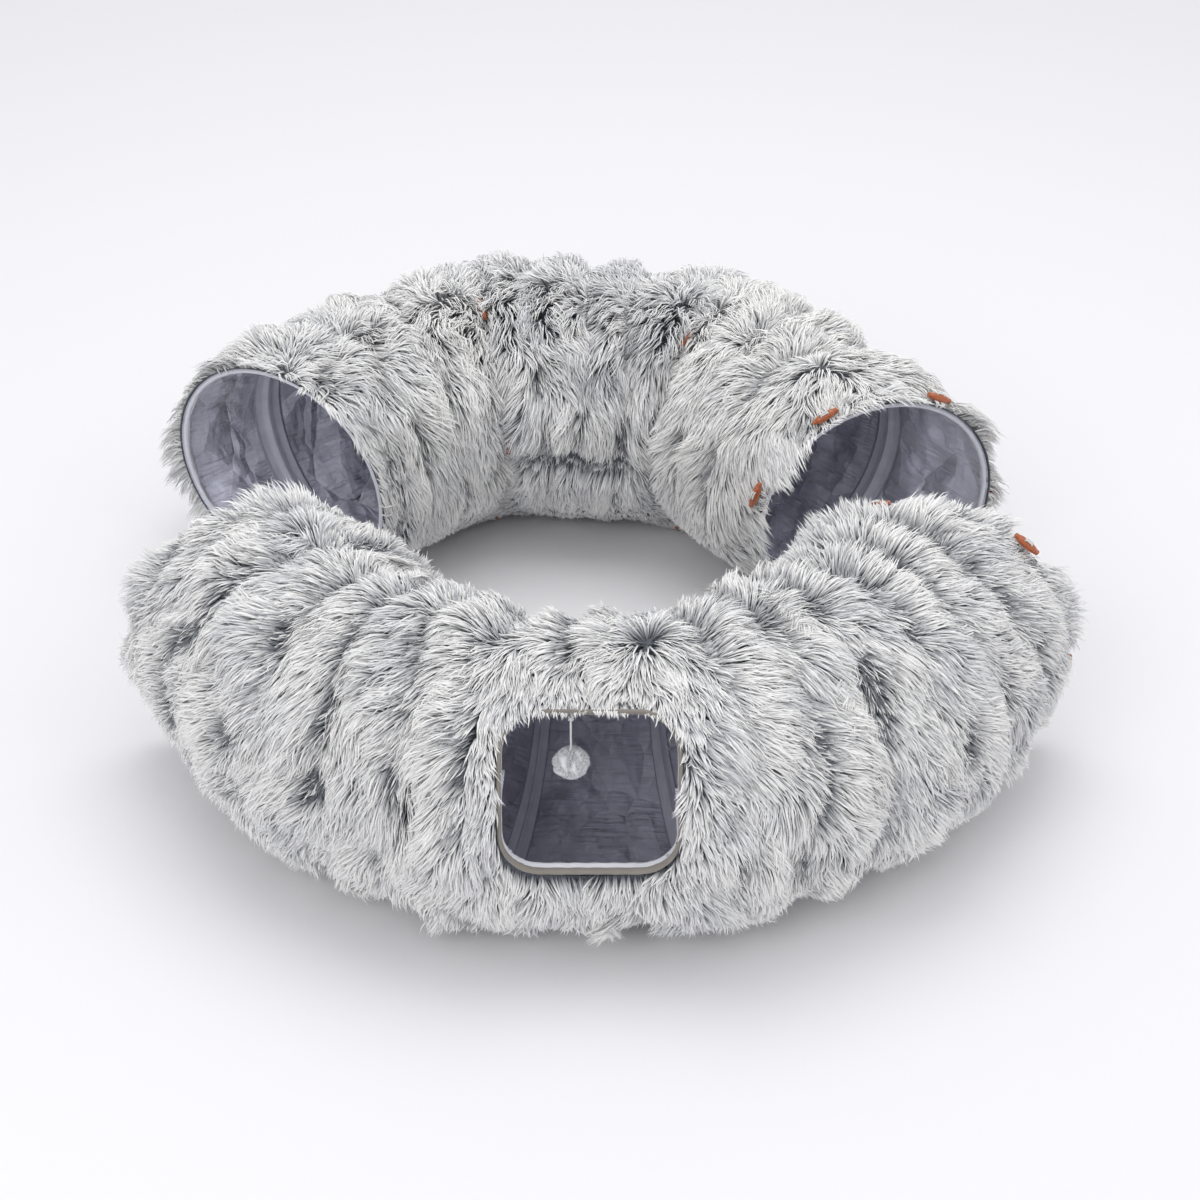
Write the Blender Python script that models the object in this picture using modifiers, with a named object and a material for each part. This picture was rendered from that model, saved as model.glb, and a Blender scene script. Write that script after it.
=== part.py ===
# Furry cat play tunnel in two curved halves laid out as a ring, with wire hoops, a silky lining,
# sewn casings, bound rims with wooden toggles and cord loops, and a side door with a pom-pom.
# Metres, +Z up, the floor at z = 0.

import math

import bmesh
import bpy
from mathutils import Matrix, Vector

# Wire hoops
HOOP_RADIUS = 0.130
WIRE_DIAMETER = 0.003

# Cloth layers, from the wire outwards and inwards
LINING_THICKNESS = 0.0006
LINING_PLAY = 0.0007
COVER_THICKNESS = 0.0065
COVER_PLAY = 0.0010
CASING_PLAY = 0.0013
CASING_THICKNESS = 0.0006
CASING_WIDTH = 0.026
CASING_EDGE_PLAY = 0.0006
FLOOR_CUT = 0.0005
SEAM_GAP = 0.0003

# Bound rims
RIM_FACE_THICKNESS = 0.0008
RIM_LEG_LENGTH = 0.009
RIM_LEG_THICKNESS = 0.0008
RIM_LEG_PLAY = 0.0009
RIM_LIP = 0.0024
RIM_BUTT = 0.0004
RIM_JOIN_GAP = 0.0008
END_HOOP_INSET = 0.0047

# Folds of the furry cover
FOLD_HEIGHT = 0.0115
PUFF_HEIGHT = 0.0035
FOLD_WANDER_SHARE = 0.55
FOLD_CALM_SHARE = 0.5
RIM_LAND = 0.018
DOOR_CALM_SHARE = 0.8
SKIRT_CREASE_SHARE = 0.9
SKIRT_CREASE_ANGLE = 228.0
SKIRT_CREASE_SPREAD_ANGLE = 34.0
REAR_FOLD_PHASES = (0.4, 2.1, 3.7, 5.2, 1.3, 2.9)
FRONT_FOLD_PHASES = (1.0, 4.0, 0.6, 2.4, 5.6)

# Front half: one long sleeve on an arc
FRONT_RADIUS = 0.355
FRONT_START_ANGLE = 198.0
FRONT_STEP_ANGLE = 28.8
FRONT_HOOP_COUNT = 6
FRONT_FOLD_COUNT = (2, 3, 3, 3, 3)

# Rear half: three straight sleeves, toggled end to end
REAR_RADIUS = 0.358
REAR_CENTRE_X = -0.041
REAR_CENTRE_Y = -0.023
REAR_END_ANGLES = (152.0, 107.0, 62.0, 17.0)
REAR_MIDDLE_ANGLES = (138.0, 84.5, 36.0)
REAR_FOLD_COUNT = ((1, 2), (2, 2), (2, 1))

# Door in the side of the front half
DOOR_WIDTH = 0.160
DOOR_HEIGHT = 0.144
DOOR_CORNER = 0.036
DOOR_OFFSET = -0.009
DOOR_TILT_ANGLE = 31.5
DOOR_BINDING_DIAMETER = 0.0095
DOOR_CORNER_POINT_COUNT = 4
DOOR_SIDE_POINT_COUNT = 3
DOOR_CUT_DEPTH = 0.12

# Pom-pom on its string
POMPOM_DIAMETER = 0.036
STRING_DIAMETER = 0.002
STRING_LENGTH = 0.034
STRING_POINT_COUNT = 8
KNOT_DIAMETER = 0.005
KNOT_SIDE_COUNT = 6
KNOT_RING_COUNT = 5
POMPOM_SIDE_COUNT = 14
POMPOM_RING_COUNT = 9
POMPOM_OFFSET = -0.026

# Toggles and loops
TOGGLE_LENGTH = 0.030
TOGGLE_DIAMETER = 0.0090
TOGGLE_END_DIAMETER = 0.0050
TOGGLE_BELLY_LENGTH = 0.0145
TOGGLE_SIDE_COUNT = 6
TOGGLE_SETBACK = 0.0072
TOGGLE_PLAY = 0.0006
TOGGLE_CORD_DIAMETER = 0.0018
TOGGLE_CORD_SPACING = 0.0080
TOGGLE_CORD_SINK = 0.0004
LOOP_WIDTH = 0.011
LOOP_LENGTH = 0.015
LOOP_PLAY = 0.0004

# Places round the tube, in degrees up from its outer side
REAR_TOGGLE_ANGLES = (351.0, 63.0, 117.0, 162.0, 243.0, 297.0)
FRONT_TOGGLE_ANGLES = (351.0, 54.0, 117.0, 180.0, 243.0, 297.0)
LOOP_ANGLES = (0.0, 63.0, 117.0, 180.0, 243.0, 297.0)
JOINED_ANGLES = ((351.0, 54.0, 108.0, 171.0, 243.0, 297.0), (351.0, 63.0, 117.0, 171.0, 243.0, 297.0))

# Which pivot each hoop and each cover follows when the halves fold up
REAR_HOOP_RIDES = (
    "left_mouth", "left_hoop", "left_joint",
    "left_joint", "middle", "right_joint",
    "right_joint", "right_hoop", "right_mouth",
)
REAR_COVER_RIDES = ("left_hoop", "left_joint", "middle", "middle", "right_joint", "right_hoop")
REAR_LINING_RIDES = ("left_joint", "middle", "right_joint")
FRONT_HOOP_RIDES = ("left_end", "left_outer", "left_inner", "right_inner", "right_outer", "right_end")
FRONT_COVER_RIDES = ("left_outer", "left_inner", "middle", "right_inner", "right_outer")

RING_SIDE_COUNT = 20
WIRE_SIDE_COUNT = 4
FOLD_ROW_COUNT = 3
SHARP_ANGLE = 50.0

# Points nearer than these are one point
MERGE_STEP = 0.000001
WELD_STEP = 0.000005
TURNED_MERGE_STEP = 0.00001

TAU = 2.0 * math.pi

# Radii of the layers about the middle of the tube
WIRE_RADIUS = WIRE_DIAMETER / 2
LINING_INNER = HOOP_RADIUS + WIRE_RADIUS + LINING_PLAY
LINING_OUTER = LINING_INNER + LINING_THICKNESS
COVER_RADIUS = LINING_OUTER + COVER_PLAY + COVER_THICKNESS
CASING_OUTER = HOOP_RADIUS - WIRE_RADIUS - CASING_PLAY
CASING_EDGE = LINING_INNER - CASING_EDGE_PLAY
RIM_LEG_OUTER = HOOP_RADIUS - WIRE_RADIUS - RIM_LEG_PLAY
RIM_LEG_INNER = RIM_LEG_OUTER - RIM_LEG_THICKNESS
RIM_OUTER = LINING_OUTER + RIM_LIP
TUBE_HEIGHT = COVER_RADIUS - FLOOR_CUT
CLOTH_START = RIM_FACE_THICKNESS + RIM_BUTT


def empty_scene():
    for item in list(bpy.data.objects):
        bpy.data.objects.remove(item, do_unlink=True)
    for group in list(bpy.data.collections):
        bpy.data.collections.remove(group)


def make_collection(name):
    group = bpy.data.collections.new(name)
    bpy.context.scene.collection.children.link(group)
    return group


def make_material(name, colour, roughness, metallic=0.0):
    made = bpy.data.materials.new(name)
    made.use_nodes = True
    shader = made.node_tree.nodes["Principled BSDF"]
    shader.inputs["Base Color"].default_value = (*colour, 1.0)
    shader.inputs["Roughness"].default_value = roughness
    shader.inputs["Metallic"].default_value = metallic
    return made


def put(item, group, parent=None):
    for old in list(item.users_collection):
        old.objects.unlink(item)
    group.objects.link(item)
    item.parent = parent
    return item


def make_empty(name, parent, location=(0.0, 0.0, 0.0), turn=None):
    item = bpy.data.objects.new(name, None)
    parts.objects.link(item)
    item.parent = parent
    item.matrix_local = Matrix.Translation(location) @ (turn or Matrix.Identity(4))
    return item


def dress(item, material, smooth=True):
    item.data.materials.clear()
    item.data.materials.append(material)
    if smooth:
        for face in item.data.polygons:
            face.use_smooth = True
        item.data.set_sharp_from_angle(angle=math.radians(SHARP_ANGLE))
    return item


# Radius of a flat-sided ring at one angle, as a share of the radius of its corners
def flat_share(phi):
    step = TAU / RING_SIDE_COUNT
    return math.cos(step / 2) / math.cos(phi % step - step / 2)


# A sleeve is ruled in straight lines from hoop to hoop. Each hoop stands in an upright plane
# through the middle of its half, at an angle and at a distance from that middle.
class Sleeve:
    def __init__(self, start, end, hoops, distance, folds):
        self.start = start
        self.end = end
        self.hoops = hoops
        self.distance = distance
        self.folds = folds

    def inset(self, angle, length):
        side = 1.0 if self.end > self.start else -1.0
        at_start = abs(angle - self.start) < abs(angle - self.end)
        turn = math.degrees(length / self.distance(angle))
        return angle + (side if at_start else -side) * turn

    def along(self, angle, length):
        return angle + math.degrees(length / self.distance(angle))

    # The two hoops that an angle lies between; beyond the end hoops, the two nearest
    def span(self, angle):
        spans = list(zip(self.hoops, self.hoops[1:]))
        for low, high in spans:
            if (angle - low) * (angle - high) <= 0.0:
                return low, high
        at_start = abs(angle - self.hoops[0]) < abs(angle - self.hoops[-1])
        return spans[0] if at_start else spans[-1]

    def reach(self, angle, radius, phi):
        low, high = self.span(angle)
        near = self.distance(low) + radius * math.cos(phi)
        far = self.distance(high) + radius * math.cos(phi)
        swing = math.radians(high - low)
        down = near * math.sin(math.radians(angle - low))
        up = far * math.sin(math.radians(high - angle))
        return near * far * math.sin(swing) / (down + up)

    def point(self, angle, radius, phi, lift=0.0):
        out = self.reach(angle, radius, phi) + lift * math.cos(phi)
        height = TUBE_HEIGHT + (radius + lift) * math.sin(phi)
        turn = math.radians(angle)
        return Vector((out * math.cos(turn), out * math.sin(turn), height))

    # End of the smooth cloth beside a rim, equally wide all round
    def land(self, rim_angle, phi):
        reach = self.reach(rim_angle, COVER_RADIUS, phi)
        return self.inset(rim_angle, RIM_LAND * self.distance(rim_angle) / reach)

    # Axes on the cover at a rim: round the tube, into the sleeve, and away from the cloth. The
    # rim's plane leans by a share of the height above the cloth, which starts behind the rim.
    def rim_frame(self, rim, phi, upright=False):
        radius = COVER_RADIUS * flat_share(phi)
        turn = math.radians(rim)
        out = Vector((math.cos(turn), math.sin(turn), 0.0))
        up = Vector((0.0, 0.0, 1.0))
        seat = self.point(rim, radius, phi)
        inward = (self.point(self.inset(rim, RIM_LAND), radius, phi) - seat).normalized()
        spoke = out * math.cos(phi) + up * math.sin(phi)
        round_tube = up * math.cos(phi) - out * math.sin(phi)
        if round_tube.cross(inward).dot(spoke) < 0.0:
            round_tube.negate()
        away = spoke if upright else round_tube.cross(inward).normalized()
        inward = away.cross(round_tube).normalized()
        round_tube = inward.cross(away)
        axes = Matrix((round_tube, inward, away)).transposed().to_4x4()
        cloth = CLOTH_START * self.reach(rim, radius, phi) / self.distance(rim)
        return seat, axes, spoke.dot(inward) / spoke.dot(away), cloth


def ring_row(sleeve, angle, radius):
    return [sleeve.point(angle, radius, TAU * k / RING_SIDE_COUNT) for k in range(RING_SIDE_COUNT)]


# A closed skin through rings of points, from the last ring back to the first
def loft(name, rows, material, group, parent):
    shape = bmesh.new()
    rings = [[shape.verts.new(point) for point in row] for row in rows]
    for here, there in zip(rings, rings[1:] + rings[:1]):
        for k in range(RING_SIDE_COUNT):
            after = (k + 1) % RING_SIDE_COUNT
            shape.faces.new((here[k], here[after], there[after], there[k]))
    bmesh.ops.recalc_face_normals(shape, faces=shape.faces)
    bmesh.ops.triangulate(shape, faces=shape.faces)
    if shape.calc_volume(signed=True) < 0.0:
        bmesh.ops.reverse_faces(shape, faces=shape.faces)
    mesh = bpy.data.meshes.new(name)
    shape.to_mesh(mesh)
    shape.free()
    item = bpy.data.objects.new(name, mesh)
    put(item, group, parent)
    return dress(item, material)


def fold_lift(share, phi, folds, phase, calm):
    wander = FOLD_WANDER_SHARE * math.sin(2.0 * phi + phase) * share * (1.0 - share) / folds
    ridge = math.sin(math.pi * folds * (share + wander)) ** 2
    swell = 1.0 - FOLD_CALM_SHARE * (0.5 + 0.5 * math.sin(3.0 * phi + 2.0 * phase))
    puff = PUFF_HEIGHT * math.sin(math.pi * share)
    return (FOLD_HEIGHT * ridge * swell + puff) * (1.0 - calm(phi))


def no_calm(phi):
    return 0.0


# The cloth round the door lies flatter
def door_calm(phi):
    return DOOR_CALM_SHARE * max(0.0, math.cos(phi - math.radians(DOOR_TILT_ANGLE))) ** 0.5


# The cloth low on the inner side of the rear half lies flatter, below a crease
def skirt_calm(phi):
    past = phi - math.radians(SKIRT_CREASE_ANGLE)
    gap = math.degrees(math.atan2(math.sin(past), math.cos(past)))
    return SKIRT_CREASE_SHARE * math.exp(-((gap / SKIRT_CREASE_SPREAD_ANGLE) ** 2))


# A furry cover over one span, smooth for a thumb's width of cloth beside an open rim
def cover(name, sleeve, first, last, folds, phase, calm, parent, land_first, land_last):
    steps = folds * FOLD_ROW_COUNT
    stations = [(j / steps, None) for j in range(steps + 1)]
    if land_first:
        stations.insert(0, (0.0, first))
    if land_last:
        stations.append((1.0, last))

    def spot(phi, share, rim_angle, depth):
        start = sleeve.land(first, phi) if land_first else first
        end = sleeve.land(last, phi) if land_last else last
        angle = start + (end - start) * share if rim_angle is None else rim_angle
        lift = fold_lift(share, phi, folds, phase, calm) - depth
        point = sleeve.point(angle, COVER_RADIUS, phi, lift)
        point.z = max(point.z, depth - FLOOR_CUT if depth else 0.0)
        return point

    turns = [TAU * k / RING_SIDE_COUNT for k in range(RING_SIDE_COUNT)]
    rows = []
    for depth, order in ((0.0, stations), (COVER_THICKNESS, stations[::-1])):
        for share, rim_angle in order:
            rows.append([spot(phi, share, rim_angle, depth) for phi in turns])
    return loft(name, rows, fur, parts, parent)


def lining(name, sleeve, first, last, parent):
    angles = [first] + list(sleeve.hoops[1:-1]) + [last]
    outside = [ring_row(sleeve, angle, LINING_OUTER) for angle in angles]
    inside = [ring_row(sleeve, angle, LINING_INNER) for angle in angles]
    return loft(name, outside + inside[::-1], silk, parts, parent)


def hoop(name, sleeve, angle, parent):
    bpy.ops.mesh.primitive_torus_add(
        major_segments=RING_SIDE_COUNT,
        minor_segments=WIRE_SIDE_COUNT,
        major_radius=HOOP_RADIUS,
        minor_radius=WIRE_RADIUS,
    )
    item = bpy.context.active_object
    item.name = name
    item.data.name = name
    put(item, parts, parent)
    turn = math.radians(angle)
    out = Vector((math.cos(turn), math.sin(turn), 0.0))
    up = Vector((0.0, 0.0, 1.0))
    axes = Matrix((out, up, out.cross(up))).transposed().to_4x4()
    place = out * sleeve.distance(angle) + up * TUBE_HEIGHT
    item.matrix_local = Matrix.Translation(place) @ axes
    return dress(item, steel)


# A flat tape round the lining over its hoop; its ends meet at the top
def casing(name, sleeve, angle, parent):
    edge = CASING_WIDTH / 2
    profile = (
        (edge, CASING_EDGE),
        (0.0, CASING_OUTER),
        (-edge, CASING_EDGE),
        (-edge, CASING_EDGE - CASING_THICKNESS),
        (0.0, CASING_OUTER - CASING_THICKNESS),
        (edge, CASING_EDGE - CASING_THICKNESS),
    )
    rows = [ring_row(sleeve, sleeve.along(angle, place), radius) for place, radius in profile]
    top = RING_SIDE_COUNT // 4
    rows = [row[top:] + row[:top] for row in rows]
    return loft(name, rows, tape, parts, parent)


# A binding that closes the rim and hides its hoop
def rim(name, sleeve, angle, parent, group):
    profile = (
        (0.0, RIM_LEG_INNER),
        (0.0, RIM_OUTER),
        (RIM_FACE_THICKNESS, RIM_OUTER),
        (RIM_FACE_THICKNESS, RIM_LEG_OUTER),
        (RIM_LEG_LENGTH, RIM_LEG_OUTER),
        (RIM_LEG_LENGTH, RIM_LEG_INNER),
    )
    rows = [ring_row(sleeve, sleeve.inset(angle, place), radius) for place, radius in profile]
    return loft(name, rows, tape, group, parent)


def cord_mesh(name, points, diameter, closed=False, sides=0):
    path = bpy.data.curves.new(name, "CURVE")
    path.dimensions = "3D"
    path.bevel_depth = diameter / 2
    path.bevel_resolution = sides
    path.use_fill_caps = True
    line = path.splines.new("POLY")
    line.points.add(len(points) - 1)
    for spot, point in zip(line.points, points):
        spot.co = (*point, 1.0)
    line.use_cyclic_u = closed
    item = bpy.data.objects.new(name, path)
    parts.objects.link(item)
    shape = bpy.context.evaluated_depsgraph_get()
    mesh = bpy.data.meshes.new_from_object(item.evaluated_get(shape))
    bpy.data.objects.remove(item, do_unlink=True)
    tidy = bmesh.new()
    tidy.from_mesh(mesh)
    bmesh.ops.remove_doubles(tidy, verts=tidy.verts, dist=MERGE_STEP)
    bmesh.ops.recalc_face_normals(tidy, faces=tidy.faces)
    tidy.to_mesh(mesh)
    tidy.free()
    return mesh


# One carved bar, turned about its length, with its cord through two holes. Local X runs round
# the tube, Y into the sleeve and Z away from the cloth, from the point where it is sewn on.
def toggle_bar(height, setback):
    half = TOGGLE_LENGTH / 2
    body = TOGGLE_DIAMETER / 2
    end = TOGGLE_END_DIAMETER / 2
    belly = TOGGLE_BELLY_LENGTH / 2
    outline = [(end, half), (body, belly), (body, -belly), (end, -half)]
    shape = bmesh.new()
    spots = [shape.verts.new((0.0, 0.0, half))]
    spots += [shape.verts.new((radius, 0.0, place)) for radius, place in outline]
    spots.append(shape.verts.new((0.0, 0.0, -half)))
    for first, second in zip(spots, spots[1:]):
        shape.edges.new((first, second))
    mesh = bpy.data.meshes.new("toggle_profile")
    shape.to_mesh(mesh)
    shape.free()
    item = bpy.data.objects.new("toggle_profile", mesh)
    parts.objects.link(item)
    turned = item.modifiers.new("turned", "SCREW")
    turned.axis = "Z"
    turned.steps = TOGGLE_SIDE_COUNT
    turned.render_steps = TOGGLE_SIDE_COUNT
    turned.use_merge_vertices = True
    turned.merge_threshold = TURNED_MERGE_STEP
    turned.use_normal_calculate = True
    view = bpy.context.evaluated_depsgraph_get()
    made = bpy.data.meshes.new_from_object(item.evaluated_get(view))
    bpy.data.objects.remove(item, do_unlink=True)
    made.transform(Matrix.Translation((0.0, setback, height)) @ Matrix.Rotation(math.radians(90.0), 4, "Y"))
    return made


def union(mesh, others):
    item = bpy.data.objects.new("union", mesh)
    parts.objects.link(item)
    extra = []
    for other in others:
        tool = bpy.data.objects.new("union_tool", other)
        parts.objects.link(tool)
        extra.append(tool)
        joined = item.modifiers.new("joined", "BOOLEAN")
        joined.operation = "UNION"
        joined.solver = "EXACT"
        joined.object = tool
    view = bpy.context.evaluated_depsgraph_get()
    made = bpy.data.meshes.new_from_object(item.evaluated_get(view))
    for each in [item] + extra:
        bpy.data.objects.remove(each, do_unlink=True)
    return made


# Free toggle: it lies on the fur beside the rim and swings about the place where it is sewn on
def free_toggle_mesh(lean, forward):
    cord = TOGGLE_CORD_DIAMETER / 2
    lift = TOGGLE_PLAY + TOGGLE_DIAMETER / 2
    seam = seam_height()
    side = TOGGLE_CORD_SPACING / 2
    low = LOOP_PLAY + cord
    top = lift + TOGGLE_DIAMETER / 2 + cord - TOGGLE_CORD_SINK
    setback = TOGGLE_SETBACK + forward - lean * seam
    rise = low - seam
    path = [
        (-side, 0.0, 0.0),
        (-side, lean * rise, rise),
        (-side, setback, rise),
        (-side, setback, top - seam),
        (side, setback, top - seam),
        (side, setback, rise),
        (side, lean * rise, rise),
        (side, 0.0, 0.0),
    ]
    bar = toggle_bar(lift - seam, setback)
    return union(bar, [cord_mesh("toggle_cord", path, TOGGLE_CORD_DIAMETER)])


# Height of the sewn point above the fur
def seam_height():
    return RIM_OUTER + SEAM_GAP + TOGGLE_CORD_DIAMETER / 2 - COVER_RADIUS


def free_toggles(prefix, sleeve, angle, turns, parent):
    for k, turn in enumerate(turns):
        phi = math.radians(turn)
        seat, axes, lean, cloth = sleeve.rim_frame(angle, phi)
        forward = TOGGLE_CORD_DIAMETER / 2 + SEAM_GAP - cloth
        shape = free_toggle_mesh(lean, forward)
        seam = seam_height()
        spot = seat + axes.to_3x3() @ Vector((0.0, lean * seam - forward, seam))
        hinge = make_empty(f"{prefix}_pivot_{k + 1}", parent, spot, axes)
        item = bpy.data.objects.new(f"{prefix}_{k + 1}", shape)
        put(item, parts, hinge)
        dress(item, wood)


# Loops of cord sewn into a rim
def rim_with_loops(name, sleeve, angle, turns, parent):
    item = rim(name, sleeve, angle, parent, parts)
    cord = TOGGLE_CORD_DIAMETER / 2
    rise = LOOP_PLAY + cord
    side = LOOP_WIDTH / 2
    for k, turn in enumerate(turns):
        phi = math.radians(turn)
        seat, axes, lean, cloth = sleeve.rim_frame(angle, phi)
        front = cloth - cord - SEAM_GAP
        sink = (RIM_OUTER - COVER_RADIUS) * flat_share(phi) - TOGGLE_CORD_DIAMETER
        path = [
            (-side, front + lean * sink, sink),
            (-side, front + lean * rise, rise),
            (-side, LOOP_LENGTH, rise),
            (side, LOOP_LENGTH, rise),
            (side, front + lean * rise, rise),
            (side, front + lean * sink, sink),
        ]
        shape = cord_mesh("loop_cord", path, TOGGLE_CORD_DIAMETER)
        tool = bpy.data.objects.new(f"{name}_loop_{k + 1}", shape)
        put(tool, cutters, parent)
        tool.matrix_local = Matrix.Translation(seat) @ axes
        join(item, tool)
    return item


def join(item, tool):
    tool.hide_render = True
    tool.display_type = "WIRE"
    joined = item.modifiers.new("joined", "BOOLEAN")
    joined.operation = "UNION"
    joined.solver = "EXACT"
    joined.object = tool
    weld(item)


def weld(item):
    welded = item.modifiers.new("welded", "WELD")
    welded.merge_threshold = WELD_STEP


# The steepest rise of the cloth beside a pair of joined rims
def joined_slope(sleeve):
    bend = math.radians(abs(sleeve.end - sleeve.start) / 2)
    row = 2.0 * REAR_RADIUS * math.sin(bend) / sum(sleeve.folds) / FOLD_ROW_COUNT
    return math.atan(math.tan(bend) + FOLD_HEIGHT / row)


# Two rims butted and held by toggles that are done up
def joined_rims(name, first, second, angles, turns, parent):
    item = rim(name, first, angles[0], parent, parts)
    other = rim(f"{name}_other", second, angles[1], parent, cutters)
    join(item, other)
    steep = joined_slope(first)
    lift = (TOGGLE_PLAY + TOGGLE_DIAMETER / 2) / math.cos(steep)
    sink = RIM_OUTER - COVER_RADIUS - TOGGLE_CORD_DIAMETER
    forward = -RIM_JOIN_GAP / 2
    path = [(0.0, forward, sink), (0.0, forward, lift)]
    bar = toggle_bar(lift, forward)
    for k, turn in enumerate(turns):
        phi = math.radians(turn)
        seat, axes, _, cloth = first.rim_frame(angles[0], phi, upright=True)
        strap = 2.0 * (cloth * (1.0 + RIM_JOIN_GAP / 2 / CLOTH_START) - SEAM_GAP)
        shape = union(bar.copy(), [cord_mesh("joined_strap", path, strap)])
        tool = bpy.data.objects.new(f"{name}_toggle_{k + 1}", shape)
        put(tool, cutters, parent)
        tool.matrix_local = Matrix.Translation(seat) @ axes
        join(item, tool)
    return item


# Door: an outline across the door, its place on the cloth, and the cutter behind it
def door_outline(grow):
    half = DOOR_WIDTH / 2 + grow
    high = DOOR_HEIGHT / 2 + grow
    corner = DOOR_CORNER + grow
    signs = ((1.0, 1.0), (-1.0, 1.0), (-1.0, -1.0), (1.0, -1.0))
    corners = [Vector(((half - corner) * x, (high - corner) * y)) for x, y in signs]
    points = []
    for number, middle in enumerate(corners):
        for k in range(DOOR_CORNER_POINT_COUNT):
            turn = math.radians(90.0 * (number + k / (DOOR_CORNER_POINT_COUNT - 1)))
            points.append(middle + corner * Vector((math.cos(turn), math.sin(turn))))
        leave = points[-1]
        enter = corners[(number + 1) % 4] + leave - middle
        for k in range(1, DOOR_SIDE_POINT_COUNT):
            points.append(leave.lerp(enter, k / DOOR_SIDE_POINT_COUNT))
    return points


def door_axes():
    tilt = math.radians(DOOR_TILT_ANGLE)
    across = Vector((1.0, 0.0, 0.0))
    away = Vector((0.0, -math.cos(tilt), math.sin(tilt)))
    rise = away.cross(across)
    return across, rise, away


def door_middle():
    squeeze = math.cos(math.radians(FRONT_STEP_ANGLE / 2))
    return Vector((DOOR_OFFSET, -FRONT_RADIUS * squeeze, TUBE_HEIGHT))


def on_cloth(spot, radius):
    across, rise, away = door_axes()
    squeeze = math.cos(math.radians(FRONT_STEP_ANGLE / 2))
    tilt = math.radians(DOOR_TILT_ANGLE)
    flat = radius * squeeze
    a = (math.cos(tilt) / flat) ** 2 + (math.sin(tilt) / radius) ** 2
    b = 2.0 * spot.y * math.sin(tilt) * math.cos(tilt) * (1.0 / radius ** 2 - 1.0 / flat ** 2)
    c = (spot.y * math.sin(tilt) / flat) ** 2 + (spot.y * math.cos(tilt) / radius) ** 2 - 1.0
    out = (-b + math.sqrt(b * b - 4.0 * a * c)) / (2.0 * a)
    return door_middle() + across * spot.x + rise * spot.y + away * out


def door_binding_radius():
    return (LINING_INNER + COVER_RADIUS) / 2


def make_door(parent, cover_item, lining_item):
    radius = door_binding_radius()
    path = [on_cloth(spot, radius) for spot in door_outline(0.0)]
    mesh = cord_mesh("door_binding", path, DOOR_BINDING_DIAMETER, closed=True, sides=1)
    item = bpy.data.objects.new("door_binding", mesh)
    put(item, parts, parent)
    dress(item, beige)
    outline = bpy.data.curves.new("door_cutter", "CURVE")
    outline.dimensions = "2D"
    outline.fill_mode = "BOTH"
    outline.extrude = DOOR_CUT_DEPTH / 2
    line = outline.splines.new("POLY")
    spots = door_outline(DOOR_BINDING_DIAMETER / 2 + SEAM_GAP)
    line.points.add(len(spots) - 1)
    for node, spot in zip(line.points, spots):
        node.co = (spot.x, spot.y, 0.0, 1.0)
    line.use_cyclic_u = True
    cutter = bpy.data.objects.new("door_cutter", outline)
    parts.objects.link(cutter)
    view = bpy.context.evaluated_depsgraph_get()
    block = bpy.data.meshes.new_from_object(cutter.evaluated_get(view))
    bpy.data.objects.remove(cutter, do_unlink=True)
    tidy = bmesh.new()
    tidy.from_mesh(block)
    bmesh.ops.remove_doubles(tidy, verts=tidy.verts, dist=MERGE_STEP)
    bmesh.ops.recalc_face_normals(tidy, faces=tidy.faces)
    tidy.to_mesh(block)
    tidy.free()
    tool = bpy.data.objects.new("door_cutter", block)
    put(tool, cutters, parent)
    across, rise, away = door_axes()
    axes = Matrix((across, rise, away)).transposed().to_4x4()
    place = door_middle() + away * (DOOR_CUT_DEPTH / 2 + radius / 2)
    tool.matrix_local = Matrix.Translation(place) @ axes
    tool.hide_render = True
    tool.display_type = "WIRE"
    for target in (cover_item, lining_item):
        cut = target.modifiers.new("door", "BOOLEAN")
        cut.operation = "DIFFERENCE"
        cut.solver = "EXACT"
        cut.object = tool
        weld(target)
    return item


# Pom-pom: a knot under the top of the door, a string, and a ball
def make_pompom(parent):
    top = on_cloth(Vector((POMPOM_OFFSET - DOOR_OFFSET, DOOR_HEIGHT / 2)), door_binding_radius())
    knot_radius = KNOT_DIAMETER / 2
    drop = DOOR_BINDING_DIAMETER / 2 + SEAM_GAP + knot_radius
    spot = top - Vector((0.0, 0.0, drop))
    hinge = make_empty("pompom_knot_pivot", parent, spot)
    bpy.ops.mesh.primitive_uv_sphere_add(
        segments=KNOT_SIDE_COUNT,
        ring_count=KNOT_RING_COUNT,
        radius=knot_radius,
    )
    knot = bpy.context.active_object
    knot.name = "pompom_knot"
    put(knot, parts, hinge)
    knot.matrix_local = Matrix.Identity(4)
    dress(knot, white)
    swing = make_empty("pompom_string_pivot", hinge)
    start = knot_radius + SEAM_GAP
    path = []
    for k in range(STRING_POINT_COUNT):
        path.append((0.0, 0.0, -start - STRING_LENGTH * k / (STRING_POINT_COUNT - 1)))
    shape = cord_mesh("pompom_string", path, STRING_DIAMETER, sides=2)
    string = bpy.data.objects.new("pompom_string", shape)
    put(string, parts, swing)
    dress(string, white)
    bpy.ops.mesh.primitive_uv_sphere_add(
        segments=POMPOM_SIDE_COUNT,
        ring_count=POMPOM_RING_COUNT,
        radius=POMPOM_DIAMETER / 2,
    )
    ball = bpy.context.active_object
    ball.name = "pompom"
    put(ball, parts, swing)
    drop = start + STRING_LENGTH + SEAM_GAP + POMPOM_DIAMETER / 2
    ball.matrix_local = Matrix.Translation((0.0, 0.0, -drop))
    dress(ball, white)


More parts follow.
